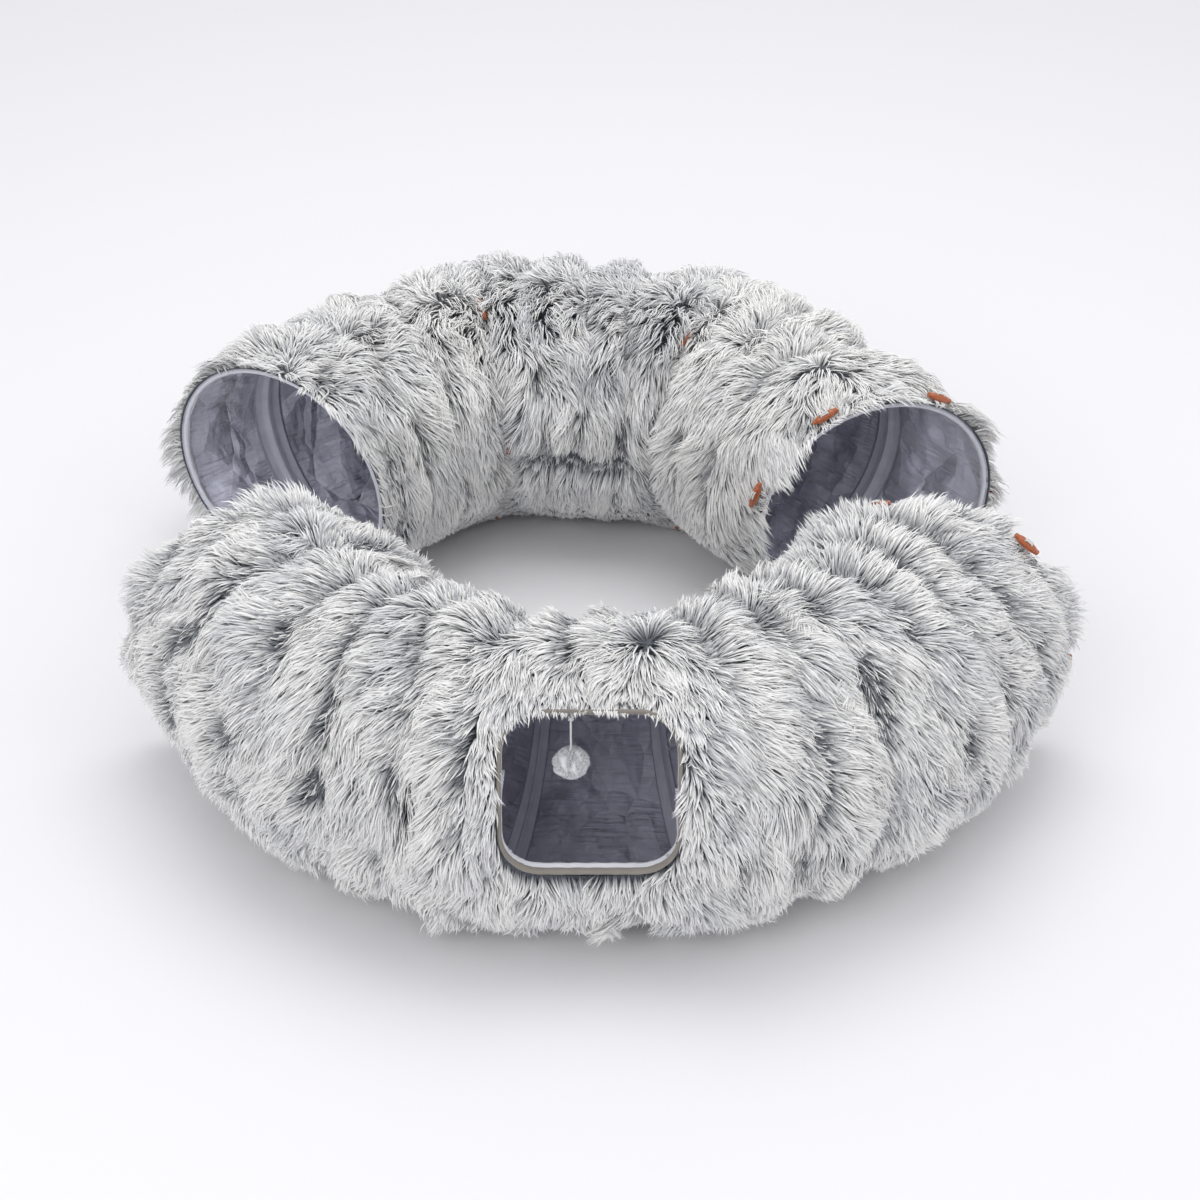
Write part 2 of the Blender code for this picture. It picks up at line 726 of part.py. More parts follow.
def rear_sleeve(number):
    first, last = REAR_END_ANGLES[number], REAR_END_ANGLES[number + 1]
    middle = (first + last) / 2
    flat = REAR_RADIUS * math.cos(math.radians((first - last) / 2))

    def distance(angle):
        return flat / math.cos(math.radians(angle - middle))

    gap = math.degrees(RIM_JOIN_GAP / 2 / REAR_RADIUS)
    start = first - (gap if number > 0 else 0.0)
    end = last + (gap if number < 2 else 0.0)
    made = Sleeve(start, end, (start, end), distance, REAR_FOLD_COUNT[number])
    made.hoops = (
        made.inset(start, END_HOOP_INSET),
        REAR_MIDDLE_ANGLES[number],
        made.inset(end, END_HOOP_INSET),
    )
    return made


def front_sleeve():
    angles = [FRONT_START_ANGLE + FRONT_STEP_ANGLE * k for k in range(FRONT_HOOP_COUNT)]
    made = Sleeve(angles[0], angles[-1], tuple(angles), lambda angle: FRONT_RADIUS, FRONT_FOLD_COUNT)
    made.hoops = (
        made.inset(made.start, END_HOOP_INSET),
        *angles[1:-1],
        made.inset(made.end, END_HOOP_INSET),
    )
    return made


# Pivots from the middle of a half outwards on each side, each on the one before
def make_pivots(prefix, middle, names):
    made = {"middle": middle}
    for side in ("left", "right"):
        above = middle
        for name in names:
            above = make_empty(f"{prefix}_{side}_{name}_pivot", above)
            made[f"{side}_{name}"] = above
    return made


def make_rear(middle):
    sleeves = [rear_sleeve(number) for number in range(3)]
    pivot = make_pivots("rear", middle, ("joint", "hoop", "mouth"))
    for index, sleeve in enumerate(sleeves):
        for k, angle in enumerate(sleeve.hoops):
            number = 3 * index + k
            hoop(f"rear_hoop_{number + 1}", sleeve, angle, pivot[REAR_HOOP_RIDES[number]])
        centre = sleeve.hoops[1]
        casing(f"rear_casing_{index + 1}", sleeve, centre, pivot[REAR_HOOP_RIDES[3 * index + 1]])
        start = sleeve.inset(sleeve.start, CLOTH_START)
        end = sleeve.inset(sleeve.end, CLOTH_START)
        butt = math.degrees(SEAM_GAP / sleeve.distance(centre))
        spans = ((start, centre + butt, index == 0, False), (centre - butt, end, False, index == 2))
        for k, (first, last, land_first, land_last) in enumerate(spans):
            which = 2 * index + k
            phase = REAR_FOLD_PHASES[which]
            cover(f"rear_cover_{which + 1}", sleeve, first, last, sleeve.folds[k], phase, skirt_calm,
                  pivot[REAR_COVER_RIDES[which]], land_first, land_last)
        lining(f"rear_lining_{index + 1}", sleeve, start, end, pivot[REAR_LINING_RIDES[index]])
    left, centre, right = sleeves
    rim_with_loops("rear_rim_left", left, left.start, LOOP_ANGLES, pivot["left_mouth"])
    rim("rear_rim_right", right, right.end, pivot["right_mouth"], parts)
    free_toggles("rear_toggle", right, right.end, REAR_TOGGLE_ANGLES, pivot["right_mouth"])
    joined_rims("rear_joined_rims_left", left, centre, (left.end, centre.start), JOINED_ANGLES[0],
                pivot["left_joint"])
    joined_rims("rear_joined_rims_right", centre, right, (centre.end, right.start), JOINED_ANGLES[1],
                pivot["right_joint"])


def make_front(middle):
    sleeve = front_sleeve()
    pivot = make_pivots("front", middle, ("inner", "outer", "end"))
    for k, angle in enumerate(sleeve.hoops):
        hoop(f"front_hoop_{k + 1}", sleeve, angle, pivot[FRONT_HOOP_RIDES[k]])
        if 0 < k < FRONT_HOOP_COUNT - 1:
            casing(f"front_casing_{k}", sleeve, angle, pivot[FRONT_HOOP_RIDES[k]])
    start = sleeve.inset(sleeve.start, CLOTH_START)
    end = sleeve.inset(sleeve.end, CLOTH_START)
    butt = math.degrees(SEAM_GAP / FRONT_RADIUS)
    last_span = FRONT_HOOP_COUNT - 2
    covers = []
    for k in range(FRONT_HOOP_COUNT - 1):
        first = sleeve.hoops[k] + butt if k else start
        last = sleeve.hoops[k + 1] - butt if k < last_span else end
        calm = door_calm if FRONT_COVER_RIDES[k] == "middle" else no_calm
        phase = FRONT_FOLD_PHASES[k]
        covers.append(cover(f"front_cover_{k + 1}", sleeve, first, last, sleeve.folds[k], phase, calm,
                            pivot[FRONT_COVER_RIDES[k]], k == 0, k == last_span))
    inside = lining("front_lining", sleeve, start, end, middle)
    make_door(middle, covers[FRONT_COVER_RIDES.index("middle")], inside)
    make_pompom(middle)
    rim_with_loops("front_rim_left", sleeve, sleeve.start, LOOP_ANGLES, pivot["left_end"])
    rim("front_rim_right", sleeve, sleeve.end, pivot["right_end"], parts)
    free_toggles("front_toggle", sleeve, sleeve.end, FRONT_TOGGLE_ANGLES, pivot["right_end"])


# The ring is centred over the origin
def centre_over_origin():
    bpy.context.view_layer.update()
    view = bpy.context.evaluated_depsgraph_get()
    low = Vector((math.inf, math.inf, math.inf))
    high = -low
    for item in parts.objects:
        if item.type != "MESH":
            continue
        shape = item.evaluated_get(view).to_mesh()
        for vertex in shape.vertices:
            place = item.matrix_world @ vertex.co
            for axis in range(3):
                low[axis] = min(low[axis], place[axis])
                high[axis] = max(high[axis], place[axis])
    root.location = (-(low.x + high.x) / 2, -(low.y + high.y) / 2, -low.z)
    bpy.context.view_layer.update()
    print("size", [round(high[axis] - low[axis], 5) for axis in range(3)])


empty_scene()
parts = make_collection("cat_tunnel")
cutters = make_collection("cutters")
cutters.hide_render = True

fur = make_material("grey_faux_fur", (0.62, 0.62, 0.64), 0.95)
silk = make_material("lavender_lining", (0.30, 0.27, 0.34), 0.45)
tape = make_material("pale_lavender_tape", (0.66, 0.63, 0.72), 0.75)
beige = make_material("beige_binding", (0.36, 0.30, 0.26), 0.8)
steel = make_material("spring_wire", (0.55, 0.56, 0.58), 0.35, 1.0)
wood = make_material("orange_wood", (0.42, 0.11, 0.03), 0.35)
white = make_material("white_cord", (0.85, 0.85, 0.84), 0.85)

root = bpy.data.objects.new("cat_tunnel_root", None)
parts.objects.link(root)
make_rear(make_empty("rear_root", root, (REAR_CENTRE_X, REAR_CENTRE_Y, 0.0)))
make_front(make_empty("front_root", root))
centre_over_origin()
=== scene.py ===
import math

import bmesh
import bpy
import numpy as np
from mathutils import Matrix, Vector, kdtree


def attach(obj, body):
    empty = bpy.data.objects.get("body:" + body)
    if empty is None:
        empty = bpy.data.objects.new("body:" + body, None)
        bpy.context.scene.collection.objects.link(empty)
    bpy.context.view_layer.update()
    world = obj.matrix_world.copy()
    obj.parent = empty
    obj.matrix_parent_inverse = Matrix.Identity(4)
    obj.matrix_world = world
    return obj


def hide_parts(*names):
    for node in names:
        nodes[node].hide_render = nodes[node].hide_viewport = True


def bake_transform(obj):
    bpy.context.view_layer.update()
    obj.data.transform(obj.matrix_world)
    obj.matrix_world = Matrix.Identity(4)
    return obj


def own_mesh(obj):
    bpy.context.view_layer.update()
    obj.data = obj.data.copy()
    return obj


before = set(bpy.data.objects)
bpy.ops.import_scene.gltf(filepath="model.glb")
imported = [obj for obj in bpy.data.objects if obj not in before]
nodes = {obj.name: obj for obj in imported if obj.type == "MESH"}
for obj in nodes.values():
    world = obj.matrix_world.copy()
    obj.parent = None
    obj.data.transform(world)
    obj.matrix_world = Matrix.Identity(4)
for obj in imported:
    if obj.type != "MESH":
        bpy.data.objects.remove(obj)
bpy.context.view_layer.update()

# Sizes that the solids share with the dressed model, in metres and degrees
tunnel = {"tubeHeight": 0.1398, "coverRadius": 0.1403, "liningInner": 0.1322, "rimOuter": 0.1352,
          "rimLand": 0.018, "clothStart": 0.0012, "hoopInset": 0.0047, "ringSides": 20}
folding = {"height": 0.0115, "puff": 0.0035, "wander": 0.55, "calm": 0.5, "doorCalm": 0.8,
           "skirt": 0.9, "skirtTurn": 228.0, "skirtSpread": 34.0}
frontHalf = {"axis": (0.0038656, 0.0098460), "radius": 0.355, "start": 198.0, "step": 28.8,
             "folds": (2, 3, 3, 3, 3), "turns": (1.0, 4.0, 0.6, 2.4, 5.6),
             "bodies": ("front_left_end", "front_left_outer", "front_left_inner",
                        "front_right_inner", "front_right_outer", "front_right_end")}
rearHalf = {"axis": (-0.0371344, -0.0131540), "radius": 0.358, "ends": (152.0, 107.0, 62.0, 17.0),
            "middles": (138.0, 84.5, 36.0), "folds": (1, 2, 2, 2, 2, 1),
            "turns": (0.4, 2.1, 3.7, 5.2, 1.3, 2.9), "joinGap": 0.0008,
            "bodies": ("rear_left_mouth", "rear_left_hoop", "rear_left_joint", "rear_left_joint",
                       "rear_middle", "rear_right_joint", "rear_right_joint", "rear_right_hoop",
                       "rear_right_mouth")}
door = {"width": 0.160, "height": 0.144, "corner": 0.036, "cornerSteps": 8, "offset": -0.009,
        "tilt": 31.5}

# The camera stands in front of the ring and above it, tipped a little lower than its target
view = {"height": 0.14, "elevation": 36.0, "distance": 2.39, "dip": 1.169, "lens": 67.62, "sensor": 36.0}
cameraData = bpy.data.cameras.new("camera")
cameraData.lens = view["lens"]
cameraData.sensor_width = view["sensor"]
camera = bpy.data.objects.new("camera", cameraData)
bpy.context.scene.collection.objects.link(camera)
rise = math.radians(view["elevation"])
target = Vector((*frontHalf["axis"], view["height"]))
camera.location = target + view["distance"] * Vector((0.0, -math.cos(rise), math.sin(rise)))
camera.rotation_euler = (math.radians(90.0 - view["elevation"] - view["dip"]), 0.0, 0.0)
bpy.context.scene.camera = camera
bpy.context.scene.view_settings.view_transform = "Standard"


# A shader socket that can be reckoned with
class Tap:
    def __init__(self, net, socket):
        self.net = net
        self.socket = socket

    def maths(self, operation, other):
        return self.net.add("ShaderNodeMath", {"operation": operation}, [self.socket, other])

    def __add__(self, other):
        return self.maths("ADD", other)

    def __radd__(self, other):
        return self.maths("ADD", other)

    def __mul__(self, other):
        return self.maths("MULTIPLY", other)

    def __rmul__(self, other):
        return self.maths("MULTIPLY", other)


class Net:
    def __init__(self, name):
        self.material = bpy.data.materials.new(name)
        self.material.use_nodes = True
        self.tree = self.material.node_tree
        self.shader = self.tree.nodes["Principled BSDF"]

    # a node of any type: its settings first, then the values or links of its sockets
    def add(self, kind, settings=(), inputs=(), output=0):
        node = self.tree.nodes.new(kind)
        for key, value in dict(settings).items():
            if key == "stops":
                self.setStops(node.color_ramp, value)
            else:
                setattr(node, key, value)
        pairs = inputs.items() if isinstance(inputs, dict) else enumerate(inputs)
        for key, value in pairs:
            self.feed(node.inputs[key], value)
        return Tap(self, node.outputs[output])

    def setStops(self, ramp, stops):
        while len(ramp.elements) < len(stops):
            ramp.elements.new(0.5)
        for element, (place, colour) in zip(ramp.elements, stops):
            element.position = place
            element.color = (*colour, 1.0)

    def feed(self, socket, value):
        if isinstance(value, Tap):
            value = value.socket
        if isinstance(value, bpy.types.NodeSocket):
            self.tree.links.new(value, socket)
        elif isinstance(value, tuple) and len(value) == 3 and socket.type == "RGBA":
            socket.default_value = (*value, 1.0)
        else:
            socket.default_value = value

    def set(self, **values):
        labels = {"colour": "Base Color", "rough": "Roughness", "metal": "Metallic", "normal": "Normal",
                  "sheen": "Sheen Weight", "sheenRough": "Sheen Roughness", "coat": "Coat Weight",
                  "specular": "Specular IOR Level", "coatRough": "Coat Roughness"}
        for key, value in values.items():
            self.feed(self.shader.inputs[labels[key]], value)
        return self.material

    def where(self):
        return self.add("ShaderNodeTexCoord", output="Object")

    def sheetMap(self, name):
        return self.add("ShaderNodeUVMap", {"uv_map": name})

    def split(self, vector):
        axes = self.tree.nodes.new("ShaderNodeSeparateXYZ")
        self.feed(axes.inputs[0], vector)
        return Tap(self, axes.outputs[0]), Tap(self, axes.outputs[1])

    def mapped(self, scale, vector=None):
        return self.add("ShaderNodeMapping", inputs={"Vector": vector or self.where(), "Scale": scale})

    def noise(self, scale, detail=3.0, rough=0.5, vector=None):
        return self.add("ShaderNodeTexNoise", inputs={"Vector": vector or self.where(), "Scale": scale,
                                                      "Detail": detail, "Roughness": rough}, output="Fac")

    # slanting bands
    def bands(self, inputs):
        return self.add("ShaderNodeTexWave", {"wave_type": "BANDS", "bands_direction": "DIAGONAL"},
                        {"Vector": self.where(), **inputs}, output="Fac")

    def ramp(self, fac, *stops):
        return self.add("ShaderNodeValToRGB", {"stops": stops}, [fac])

    def mix(self, share, first, second, blend="MIX"):
        made = self.tree.nodes.new("ShaderNodeMix")
        made.data_type = "RGBA"
        made.blend_type = blend
        for key, value in ((0, share), (6, first), (7, second)):
            self.feed(made.inputs[key], value)
        return Tap(self, made.outputs[2])

    def bump(self, height, strength, distance, normal=None):
        inputs = {"Height": height, "Strength": strength, "Distance": distance}
        if normal:
            inputs["Normal"] = normal
        return self.add("ShaderNodeBump", inputs=inputs)


pileColours = {"root": (0.045, 0.050, 0.060), "under": (0.168, 0.178, 0.20), "mid": (0.56, 0.562, 0.572),
               "tip": (0.895, 0.89, 0.885), "streak": (0.60, 0.61, 0.645)}
woolColours = {"root": (0.80, 0.80, 0.88), "under": (0.88, 0.88, 0.94), "mid": (0.94, 0.94, 0.98),
               "tip": (0.97, 0.97, 0.99), "streak": (0.96, 0.96, 0.99), "sheen": 0.8}


# strands that grow paler from root to tip, each with a tone of its own
def pileMaterial(name, root, under, mid, tip, streak, sheen=0.0):
    net = Net(name)
    shade, along = net.split(net.sheetMap("OFBake"))
    colour = net.ramp(along, (0.0, root), (0.16, under), (0.38, mid), (0.62, tip), (1.0, tip))
    tint = net.ramp(shade, (0.0, streak), (0.45, (0.90, 0.91, 0.92)), (0.8, (1.0, 1.0, 0.99)))
    return net.set(colour=net.mix(1.0, colour, tint, "MULTIPLY"), rough=0.6, specular=0.2, sheen=sheen)


knit = {"dark": (0.06, 0.068, 0.08), "pale": (0.13, 0.145, 0.165), "patchScale": 60.0,
        "weaveScale": 900.0, "weaveDepth": 0.001}


def backingMaterial():
    net = Net("faux_fur_backing")
    weave = net.noise(knit["weaveScale"], 2.0)
    colour = net.mix(net.noise(knit["patchScale"]), knit["dark"], knit["pale"])
    return net.set(colour=colour, rough=0.95, normal=net.bump(weave, 0.4, knit["weaveDepth"]))


# the lining's colour holds painted light and shade: noise patches blend a shaded and a lit, bluer copy
taffeta = {"shade": (0.40, 0.39, 0.475), "light": (0.72, 0.73, 0.86), "pleat": (0.62, 0.63, 0.70),
           "pleatsAround": 120.0, "pleatsAlong": 1.7, "pleatDepth": 0.0060, "creaseScale": 15.0,
           "creaseDepth": 0.048, "foldScale": 20.0, "foldDepth": 0.022, "patchScale": 9.0,
           "grainScale": 2600.0, "grainDepth": 0.0003, "rough": 0.28, "roughScale": 40.0}


def liningMaterial():
    net = Net("lavender_taffeta")
    flat = net.sheetMap("cloth")
    pleatScale = (taffeta["pleatsAround"], taffeta["pleatsAlong"], 1.0)
    pleats = net.noise(1.0, 2.5, 0.6, net.mapped(pleatScale, flat))
    creases = net.add("ShaderNodeTexVoronoi", {"feature": "DISTANCE_TO_EDGE"},
                      {"Vector": net.mapped((1.0, 1.0, 0.6)), "Scale": taffeta["creaseScale"]},
                      output="Distance")
    folds = net.noise(taffeta["foldScale"], 3.5, 0.5, net.mapped((1.0, 1.0, 0.45)))
    grain = net.noise(taffeta["grainScale"], 1.0)
    # painted light and shade: patches between the shaded and the lit copy
    patch = net.ramp(net.noise(taffeta["patchScale"], 5.0, 0.6), (0.34, taffeta["shade"]),
                     (0.66, taffeta["light"]))
    colour = net.mix(pleats * 0.35, patch, taffeta["pleat"])
    normal = net.bump(pleats, 0.8, taffeta["pleatDepth"])
    normal = net.bump(creases, 0.8, taffeta["creaseDepth"], normal)
    normal = net.bump(folds, 0.9, taffeta["foldDepth"], normal)
    normal = net.bump(grain, 0.10, taffeta["grainDepth"], normal)
    return net.set(colour=colour, rough=taffeta["rough"] + net.noise(taffeta["roughScale"]) * 0.18,
                   specular=0.7, sheen=0.4, sheenRough=0.35, normal=normal)


tapes = {"tape": {"dark": (0.52, 0.52, 0.60), "pale": (0.70, 0.71, 0.79), "seam": (0.50, 0.50, 0.56)},
         "binding": {"dark": (0.60, 0.60, 0.67), "pale": (0.76, 0.76, 0.83)},
         "beige": {"dark": (0.175, 0.155, 0.135), "pale": (0.28, 0.255, 0.225), "scale": 2200.0},
         "hem": {"dark": (0.72, 0.72, 0.78), "pale": (0.88, 0.88, 0.92), "scale": 1800.0}}


# woven tape; one given a seam colour is darker in thin lines along its middle and edges
def tapeMaterial(name, dark, pale, scale=1500.0, seam=None):
    net = Net(name)
    ribs = net.noise(scale, 1.0)
    colour = net.mix(net.noise(70.0, 4.0), dark, pale)
    normal = net.bump(ribs, 0.35, 0.0006)
    if seam:
        plain = (1.0, 1.0, 1.0)
        _, across = net.split(net.sheetMap("cloth"))
        darkLines = net.ramp(across, (0.0, seam), (0.05, seam), (0.08, plain), (0.47, plain),
                            (0.5, seam), (0.53, plain), (0.92, plain), (0.95, seam))
        colour = net.mix(1.0, colour, darkLines, "MULTIPLY")
        normal = net.bump(net.noise(30.0, 6.0, 0.65), 0.45, 0.005, normal)
    return net.set(colour=colour, rough=0.55, sheen=0.3, normal=normal)


lacquer = {"deep": (0.35, 0.074, 0.018), "pale": (0.57, 0.150, 0.042), "grain": (0.24, 0.055, 0.016),
           "grainScale": 90.0, "grainDepth": 0.0006, "rough": 0.32, "coat": 0.6,
           "streaks": {"Scale": 160.0, "Distortion": 6.0, "Detail": 3.0, "Detail Scale": 2.0}}


def woodMaterial():
    net = Net("orange_lacquered_wood")
    grain = net.noise(lacquer["grainScale"], 5.0, 0.6)
    base = net.mix(net.bands(lacquer["streaks"]), lacquer["deep"], lacquer["pale"])
    colour = net.mix(grain * 0.5, base, lacquer["grain"])
    return net.set(colour=colour, rough=lacquer["rough"], coat=lacquer["coat"], coatRough=0.15,
                   normal=net.bump(grain, 0.2, lacquer["grainDepth"]))


cotton = {"dark": (0.68, 0.68, 0.67), "pale": (0.88, 0.88, 0.87)}
woolCore = {"dark": (0.90, 0.90, 0.95), "pale": (0.97, 0.97, 0.99)}
twisted = {"Scale": 700.0, "Distortion": 1.0}


def cordMaterial(name, dark, pale):
    net = Net(name)
    twist = net.bands(twisted)
    return net.set(colour=net.mix(twist, dark, pale), rough=0.85, sheen=0.3,
                   normal=net.bump(twist, 0.5, 0.0004))


wire = {"dark": (0.42, 0.43, 0.45), "pale": (0.62, 0.63, 0.65), "markScale": 400.0, "rough": 0.28}


def steelMaterial():
    net = Net("drawn_spring_wire")
    marks = net.noise(wire["markScale"], 3.0)
    return net.set(colour=net.mix(marks, wire["dark"], wire["pale"]), metal=1.0,
                   rough=wire["rough"] + marks * 0.15)


materials = {
    "pile": pileMaterial("grey_faux_fur_pile", **pileColours),
    "wool": pileMaterial("white_wool_pile", **woolColours),
    "backing": backingMaterial(),
    "lining": liningMaterial(),
    "tape": tapeMaterial("pale_lavender_tape", **tapes["tape"]),
    "binding": tapeMaterial("pale_lavender_binding", **tapes["binding"]),
    "beige": tapeMaterial("beige_woven_binding", **tapes["beige"]),
    "hem": tapeMaterial("white_hem", **tapes["hem"]),
    "wood": woodMaterial(),
    "core": cordMaterial("white_wool_core", **woolCore),
    "cord": cordMaterial("white_cord", **cotton),
    "steel": steelMaterial(),
}


# Helpers for meshes and the bodies that they follow
def finish(mesh, name, material):
    item = bpy.data.objects.new(name, mesh)
    bpy.context.scene.collection.objects.link(item)
    mesh.materials.clear()
    mesh.materials.append(material)
    mesh.shade_smooth()
    return item


# takes the place of a node of the solids, and moves with a body
def standIn(item, node, body):
    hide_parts(node)
    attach(item, body)


# a grid whose corners are put in place by a function of two shares, joined where it closes
def formGrid(across, along, place):
    shape = bmesh.new()
    bmesh.ops.create_grid(shape, x_segments=across, y_segments=along, size=0.5)
    flat = np.array([v.co[:2] for v in shape.verts]) + 0.5
    layer = shape.loops.layers.uv.new("cloth")
    for face in shape.faces:
        for loop in face.loops:
            loop[layer].uv = (loop.vert.co.x + 0.5, loop.vert.co.y + 0.5)
    for vertex, spot in zip(shape.verts, place(flat[:, 0], flat[:, 1])):
        vertex.co = spot
    bmesh.ops.remove_doubles(shape, verts=shape.verts, dist=1e-6)
    bmesh.ops.recalc_face_normals(shape, faces=shape.faces)
    return shape


def toMesh(shape, name):
    mesh = bpy.data.meshes.new(name)
    shape.to_mesh(mesh)
    shape.free()
    return mesh


def applied(item):
    graph = bpy.context.evaluated_depsgraph_get()
    mesh = bpy.data.meshes.new_from_object(item.evaluated_get(graph))
    old = item.data
    item.modifiers.clear()
    item.data = mesh
    bpy.data.meshes.remove(old)


def thicken(item, depth):
    solid = item.modifiers.new("cloth", "SOLIDIFY")
    solid.thickness = depth
    solid.offset = 0.0
    applied(item)


# a smooth line through a few points
def smoothPath(points, per):
    points = np.asarray(points, float)
    points = np.concatenate([2.0 * points[:1] - points[1:2], points, 2.0 * points[-1:] - points[-2:-1]])
    made = []
    for a, b, c, d in zip(points, points[1:], points[2:], points[3:]):
        for k in range(per):
            t = k / per
            made.append(0.5 * (2.0 * b + (c - a) * t + (2.0 * a - 5.0 * b + 4.0 * c - d) * t ** 2
                               + (3.0 * b - a - 3.0 * c + d) * t ** 3))
    made.append(points[-2])
    return np.array(made)


def cordCurve(name, points, diameter, material, resolution=3):
    path = bpy.data.curves.new(name, "CURVE")
    path.dimensions = "3D"
    path.bevel_depth = diameter / 2
    path.bevel_resolution = resolution
    path.use_fill_caps = True
    line = path.splines.new("POLY")
    line.points.add(len(points) - 1)
    for spot, point in zip(line.points, points):
        spot.co = (*point, 1.0)
    item = bpy.data.objects.new(name, path)
    bpy.context.scene.collection.objects.link(item)
    path.materials.append(material)
    return item


# several cords as one mesh
def cordMesh(name, paths, diameter, material):
    made = bmesh.new()
    for number, points in enumerate(paths):
        item = cordCurve(f"{name}_{number}", points, diameter, material, 2)
        mesh = bpy.data.meshes.new_from_object(item.evaluated_get(bpy.context.evaluated_depsgraph_get()))
        made.from_mesh(mesh)
        bpy.data.objects.remove(item, do_unlink=True)
        bpy.data.meshes.remove(mesh)
    bmesh.ops.remove_doubles(made, verts=made.verts, dist=1e-7)
    bmesh.ops.recalc_face_normals(made, faces=made.faces)
    return finish(toMesh(made, name), name, material)


def unit(rows):
    return rows / np.maximum(np.linalg.norm(rows, axis=-1), 1e-12)[..., None]


# directions turned towards others that are square to them
def turned(way, across, turn):
    return unit(way * np.cos(turn)[:, None] + across * np.sin(turn)[:, None])


def between(pair, share):
    return pair[0] + (pair[1] - pair[0]) * share


# 1 at a gap of nothing, and next to nothing beyond twice the width
def bell(gap, width):
    return np.exp(-((gap / width) ** 2))


# smooth noise from a few plane waves
class Waves:
    def __init__(self, seed, shortest, longest, count=10):
        rng = np.random.default_rng(seed)
        heading = unit(rng.normal(size=(count, 3)))
        length = rng.uniform(shortest, longest, count)
        self.pulse = heading * (2.0 * math.pi / length)[:, None]
        self.offset = rng.uniform(0.0, 2.0 * math.pi, count)
        self.scale = math.sqrt(2.0 / count)

    def at(self, spots):
        return np.sin(spots @ self.pulse.T + self.offset).sum(axis=1) * self.scale


# The pom-pom's string hangs from a knot under the top of the door
pompom = {"knot": (-0.0221344, -0.3941257, 0.2535380), "knotSize": 0.0058, "gap": 0.0028,
          "stringLength": 0.034, "stringWidth": 0.002, "stringSteps": 16, "across": 0.036,
          "core": 0.0142, "coreDents": 0.10, "strands": 5200, "strandWidth": 0.0010, "squash": 0.84,
          "bend": 0.0022, "trim": (0.90, 1.0), "seat": 0.0003, "tone": 0.6, "toneSpread": 0.25}
knot = np.array(pompom["knot"])
stringTop = knot - np.array((0.0, 0.0, pompom["gap"]))
stringPath = [stringTop - np.array((0.0, 0.0, pompom["stringLength"] * k / pompom["stringSteps"]))
              for k in range(pompom["stringSteps"] + 1)]
string = cordCurve("pompom_cord", stringPath, pompom["stringWidth"], materials["cord"])
standIn(string, "pompom_string", "pompom_swing")


# The sleeves' surfaces
def degreesOver(length, radius):
    return math.degrees(length / radius)


# the cloth between two hoops, ruled straight from one hoop's plane to the next
class Span:
    def __init__(self, name, axis, hoops, radii, reach, folds, turn, calm, lands, ends):
        self.name, self.axis = name, axis
        self.low, self.high = hoops
        self.nearRadius, self.farRadius = radii
        self.first, self.last = reach
        self.folds, self.turn, self.calm = folds, turn, calm
        self.landFirst, self.landLast = lands
        self.ends = ends
        self.isFront = name.startswith("front")
        self.way = 1.0 if self.last > self.first else -1.0

    def reach(self, angle, radius, phi):
        near = self.nearRadius + radius * np.cos(phi)
        far = self.farRadius + radius * np.cos(phi)
        swing = math.radians(self.high - self.low)
        down = near * np.sin(np.radians(angle - self.low))
        up = far * np.sin(np.radians(self.high - angle))
        return near * far * math.sin(swing) / (down + up)

    def point(self, angle, radius, phi, lift=0.0):
        out = self.reach(angle, radius, phi) + lift * np.cos(phi)
        height = tunnel["tubeHeight"] + (radius + lift) * np.sin(phi)
        turn = np.radians(angle)
        return np.stack([self.axis[0] + out * np.cos(turn), self.axis[1] + out * np.sin(turn),
                         height + 0.0 * out], axis=-1)

    # the share as the folds run, which wander a little round the tube
    def wandered(self, share, phi):
        sway = folding["wander"] * np.sin(2.0 * phi + self.turn)
        return share + sway * share * (1.0 - share) / self.folds

    def ridge(self, share, phi):
        return np.sin(math.pi * self.folds * self.wandered(share, phi)) ** 2

    def lift(self, share, phi):
        swell = 1.0 - folding["calm"] * (0.5 + 0.5 * np.sin(3.0 * phi + 2.0 * self.turn))
        puff = folding["puff"] * np.sin(math.pi * share)
        return (folding["height"] * self.ridge(share, phi) * swell + puff) * (1.0 - self.calm(phi))

    # share 0 to 1 along the folded cloth, without the smooth land beside an open rim
    def angle(self, share, phi):
        start = self.land(self.first, phi) if self.landFirst else self.first
        end = self.land(self.last, phi) if self.landLast else self.last
        return start + (end - start) * share

    def land(self, rim, phi):
        middle = (self.low + self.high) / 2
        side = 1.0 if middle > rim else -1.0
        return rim + side * np.degrees(tunnel["rimLand"] / self.reach(rim, tunnel["coverRadius"], phi))

    def share(self, angle, phi):
        start, end = self.angle(0.0, phi), self.angle(1.0, phi)
        return np.clip((angle - start) / (end - start), 0.0, 1.0)

    def cloth(self, angle, phi, drop=0.0):
        lift = self.lift(self.share(angle, phi), phi) + crease(self, angle, phi)
        return self.point(angle, tunnel["coverRadius"], phi, lift - drop)

    # metres to the open rim, where the span has one
    def toRim(self, angle, phi):
        rim = self.first if self.landFirst else self.last
        return np.radians(np.abs(angle - rim)) * self.reach(angle, tunnel["coverRadius"], phi)


def noCalm(phi):
    return 0.0 * phi


def doorCalm(phi):
    return folding["doorCalm"] * np.maximum(0.0, np.cos(phi - math.radians(door["tilt"]))) ** 0.5


def apart(phi, degrees):
    turn = phi - math.radians(degrees)
    return np.degrees(np.arctan2(np.sin(turn), np.cos(turn)))


def skirtCalm(phi):
    return folding["skirt"] * bell(apart(phi, folding["skirtTurn"]), folding["skirtSpread"])


